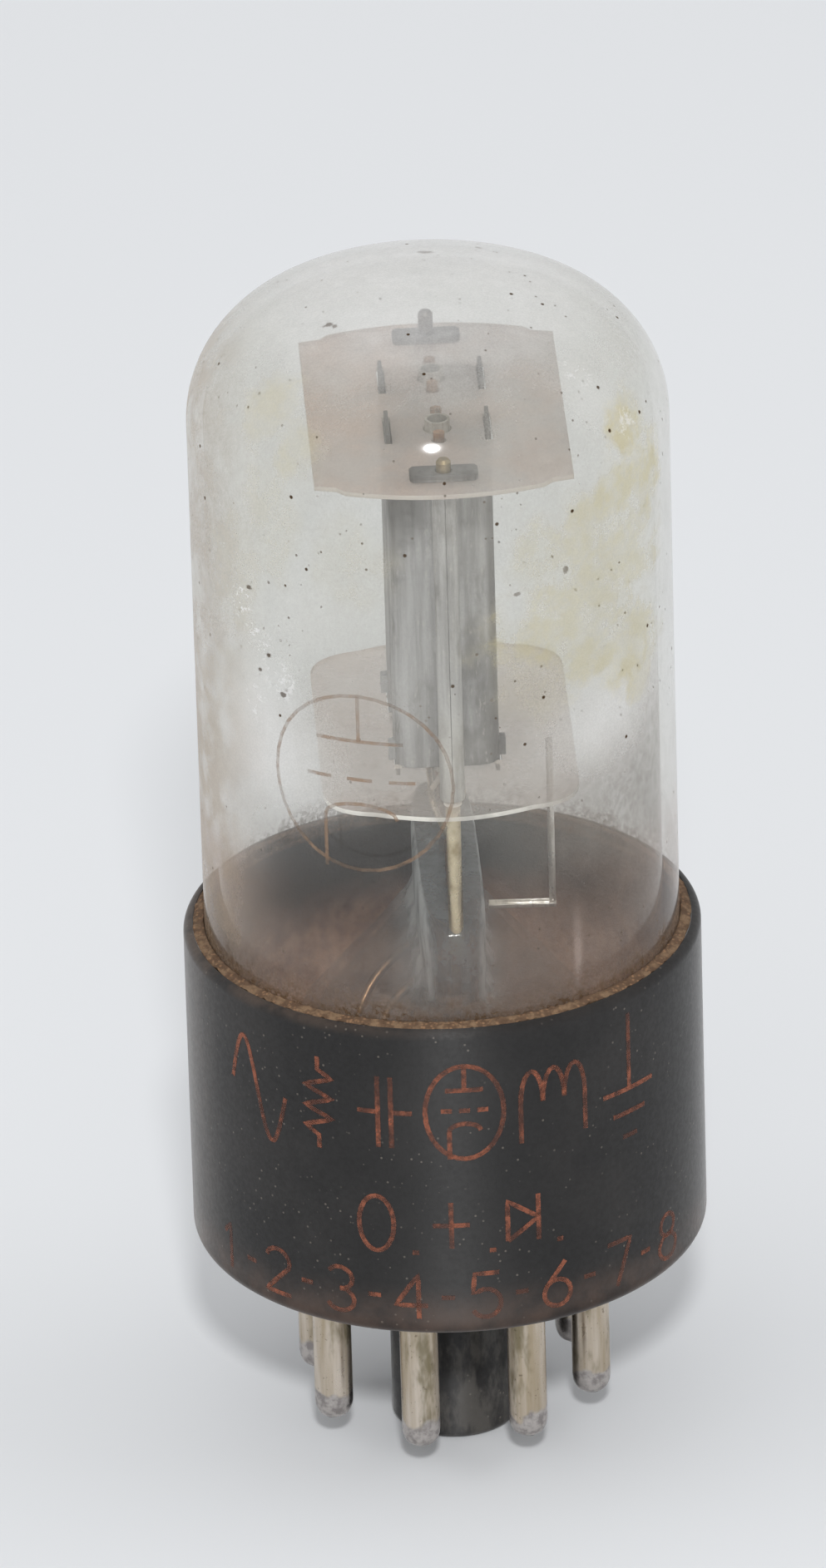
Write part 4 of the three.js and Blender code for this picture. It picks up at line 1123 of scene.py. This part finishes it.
def make_getter():
    low, high = corners("getter_support")
    x, y = (low.x + high.x) / 2, (low.y + high.y) / 2
    post = wire("getter_post", [(x, y, z) for z in (high.z, 44, 41, 38, low.z)], 0.21)
    finish(post, GETTER, "nickel_wire", "getter_support")
    low, high = corners("getter_tray")
    y, half, wall, chamfer = (low.y + high.y) / 2, 0.38, 0.12, 0.08
    tall = high.z - low.z
    inner = half - wall
    right = [(half - chamfer, 0), (half, chamfer), (half, tall), (inner, tall), (inner - 0.03, wall)]
    left = [(-a, b) for a, b in reversed(right)]
    section = [left[2], *left[3:], *right, *left[:2]]
    caps = [[0, 1, 8, 9], [1, 2, 3, 4, 7, 8], [4, 5, 6, 7]]
    steps = [low.x + (high.x - low.x) * i / 12 for i in range(13)]
    points = [(across, y + a, low.z + b) for across in steps for a, b in section]
    tray = fix_normals(mesh_object("getter_channel", points, skin(len(steps), len(section), caps)))
    finish(soften(tray, 0.02), GETTER, "nickel_wire", "getter_tray")


# ---- print

# Each mark is a list of strokes in a box 1 wide and 1 high, centred on u = 0.
MARKS = {
    "wave": [[(-0.5 + i / 40, 0.5 + 0.5 * math.sin(2 * math.pi * i / 40)) for i in range(41)]],
    "resistor": [[
        (0, 1), (0, 0.86), *((0.38 * (-1) ** i, 0.78 - 0.11 * i) for i in range(6)), (0, 0.14), (0, 0),
    ]],
    "capacitor": [
        [(-0.5, 0.5), (-0.12, 0.5)], [(-0.12, 0.9), (-0.12, 0.1)],
        [(0.12, 0.9), (0.12, 0.1)], [(0.12, 0.5), (0.5, 0.5)],
    ],
    "triode": [
        arc(0, 0.5, 0.5, 0.5, 0, 360, 32),
        [(0, 1), (0, 0.74)],
        [(-0.24, 0.74), (0.24, 0.74)],
        *([(u, 0.52), (v, 0.52)] for u, v in ((-0.3, -0.16), (-0.07, 0.07), (0.16, 0.3))),
        [(-0.2, 0.0), (-0.2, 0.3), *arc(0, 0.3, 0.2, 0.08, 180, 0, 8)],
    ],
    "coil": [[
        (-0.51, 0.05),
        *(place for i in range(3) for place in arc(-0.34 + 0.34 * i, 0.45, 0.17, 0.32, 180, 0, 10)),
        (0.51, 0.05),
    ]],
    "ground": [
        [(0, 1), (0, 0.42)], *([(-u, v), (u, v)] for u, v in ((0.5, 0.42), (0.32, 0.24), (0.14, 0.06))),
    ],
    "diode": [[(-0.4, 0.15), (-0.4, 0.85), (0.35, 0.5), (-0.4, 0.15)], [(0.35, 0.1), (0.35, 0.9)]],
    "plus": [[(-0.4, 0.5), (0.4, 0.5)], [(0, 0.1), (0, 0.9)]],
    "ring": [arc(0, 0.5, 0.42, 0.48, 0, 360, 24)],
    1: [[(-0.25, 0.78), (0.05, 1), (0.05, 0)]],
    2: [[*arc(0, 0.72, 0.42, 0.28, 165, -20), (-0.45, 0), (0.45, 0)]],
    3: [arc(0, 0.75, 0.38, 0.25, 150, -90, 10), arc(0, 0.26, 0.42, 0.26, 90, -155, 12)],
    4: [[(0.2, 0), (0.2, 1), (-0.45, 0.3), (0.45, 0.3)]],
    5: [[(0.38, 1), (-0.3, 1), (-0.36, 0.56), *arc(0, 0.32, 0.42, 0.32, 120, -150, 12)]],
    6: [[(0.25, 1), (-0.3, 0.5), *arc(0, 0.3, 0.4, 0.3, 150, 510, 20)]],
    7: [[(-0.42, 1), (0.42, 1), (-0.1, 0)]],
    8: [arc(0, 0.76, 0.34, 0.24, -90, 270, 18), arc(0, 0.27, 0.42, 0.27, 90, 450, 18)],
}

# Mark, place round the front, height, width and tallness.
DIGIT_PITCH = 4.55
BASE_ROWS = [
    ("wave", -12.9, 25.4, 4.6, 6.4), ("resistor", -8.2, 25.9, 2.6, 6.2), ("capacitor", -3.9, 26.0, 3.4, 6.0),
    ("triode", 1.0, 25.9, 4.8, 6.3), ("coil", 6.6, 26.2, 4.2, 6.6), ("ground", 12.2, 24.4, 4.2, 8.8),
    ("ring", -4.6, 19.4, 2.6, 3.9), ("plus", 0.0, 19.4, 2.8, 3.9), ("diode", 4.5, 19.4, 2.6, 3.9),
    *((number, -16.2 + DIGIT_PITCH * (number - 1), 14.95, 2.2, 3.0) for number in range(1, 9)),
]
DOTS = [(u + 0.2, 19.5, 0.2) for u in (-2.4, 2.3, 6.6)]
DASHES = [(-13.95 + DIGIT_PITCH * i, 16.4, 0.4) for i in range(7)]


def densify(stroke, step=0.35):
    dense = [stroke[0]]
    for a, b in zip(stroke, stroke[1:]):
        count = max(1, int(math.dist(a, b) / step))
        shares = [i / count for i in range(1, count + 1)]
        dense += [(a[0] + (b[0] - a[0]) * t, a[1] + (b[1] - a[1]) * t) for t in shares]
    return dense


def placed(mark, u, v, wide, high):
    return [[(u + x * wide, v + y * high) for x, y in stroke] for stroke in MARKS[mark]]


def ribbons(name, strokes, width, radius, proud, turn=0):
    """Thin closed strips along strokes of (way round, height), wrapped on a cylinder from an angle."""
    points, faces = [], []
    for stroke in strokes:
        dense = densify(stroke)
        faces += skin(len(dense), 4, [[0, 3, 2, 1]], len(points))
        for i, (u, v) in enumerate(dense):
            after, before = dense[min(i + 1, len(dense) - 1)], dense[max(i - 1, 0)]
            along = Vector((after[0] - before[0], after[1] - before[1])).normalized()
            off = Vector((-along.y, along.x)) * width / 2
            for side, lift in ((1, 1), (-1, 1), (-1, -1), (1, -1)):
                angle = turn + (u + side * off.x) / radius
                points.append(around(radius + proud * lift, angle, v + side * off.y))
    return fix_normals(mesh_object(name, points, faces))


def make_base_print():
    """Three worn rows of generic marks round the front: circuit symbols, small signs and the pin numbers."""
    strokes = [stroke for row in BASE_ROWS for stroke in placed(*row)]
    strokes += [[(u - half, v), (u + half, v)] for u, v, half in DOTS + DASHES]
    finish(ribbons("base_marks", strokes, 0.3, BASE_R, 0.015), PRINT, "bakelite")


def make_bulb_print():
    """A thin printed triode symbol on the glass, left of the middle."""
    strokes = placed("triode", 0, 44.6, 11.4, 11.6)
    marks = ribbons("bulb_marks", strokes, 0.22, BULB_R, 0.01, math.radians(-19))
    finish(marks, GLASS_PRINT, "bulb_glass")


# ---- stage


def make_stage():
    size = 2500
    outline = [(-size, -size, 0), (size, -size, 0), (size, size, 0), (-size, size, 0)]
    floor = mesh_object("floor", outline, [[0, 1, 2, 3]])
    floor.data.materials.append(floor_look())


def area_light(name, place, size, power):
    """A square light aimed at the tube, in metres and watts."""
    data = bpy.data.lights.new(name, "AREA")
    data.size = size
    data.energy = power
    light = link(name, data)
    light.location = place
    light.rotation_euler = (Vector(place) - Vector((0, 0, 0.04))).to_track_quat("Z", "Y").to_euler()
    return light


def make_lights():
    world = bpy.data.worlds.new("studio")
    world.use_nodes = True
    background = world.node_tree.nodes["Background"]
    background.inputs["Color"].default_value = (0.985, 0.99, 1.0, 1)
    background.inputs["Strength"].default_value = 0.53
    bpy.context.scene.world = world
    lift, side, away = math.radians(39.2), math.radians(1.6), 1.8
    flash = around(away * math.cos(lift), side, away * math.sin(lift))
    area_light("flash", flash, 0.15, 14.4).data.shape = "DISK"
    for name, place, power in (
        ("soft_front", (-0.4, -1.8, 1.5), 6.8),
        ("soft_left", (-1.9, -0.3, 1.1), 9.2),
        ("soft_right", (1.9, -0.1, 1.1), 9.6),
    ):
        area_light(name, place, 1.8, power).visible_glossy = False
    scene = bpy.context.scene
    scene.view_settings.view_transform = "Standard"
    scene.cycles.transparent_max_bounces = 32
    scene.cycles.max_bounces = 14
    scene.cycles.transmission_bounces = 14


# ---- build

add_camera()
make_stage()
make_lights()
make_bulb()
make_stem()
make_exhaust_tube()
make_cement()
make_base()
for number in range(1, 9):
    make_pin(number)
    make_lead(number)
make_micas()
for unit in UNITS:
    make_anode_half(unit, "left", -1)
    make_anode_half(unit, "right", 1)
    make_rod(unit)
    make_cathode(unit)
    make_grid(unit)
for kind, front_lead, rear_lead in (("anode", 5, 2), ("grid", 4, 1), ("cathode", 6, 3)):
    make_strap(f"{kind}_strap_front", front_lead)
    make_strap(f"{kind}_strap_rear", rear_lead)
make_bus("heater_bus_left", -1, 7, UNITS["rear"][0])
make_bus("heater_bus_right", 1, 8, UNITS["front"][0])
make_getter()
make_base_print()
make_bulb_print()
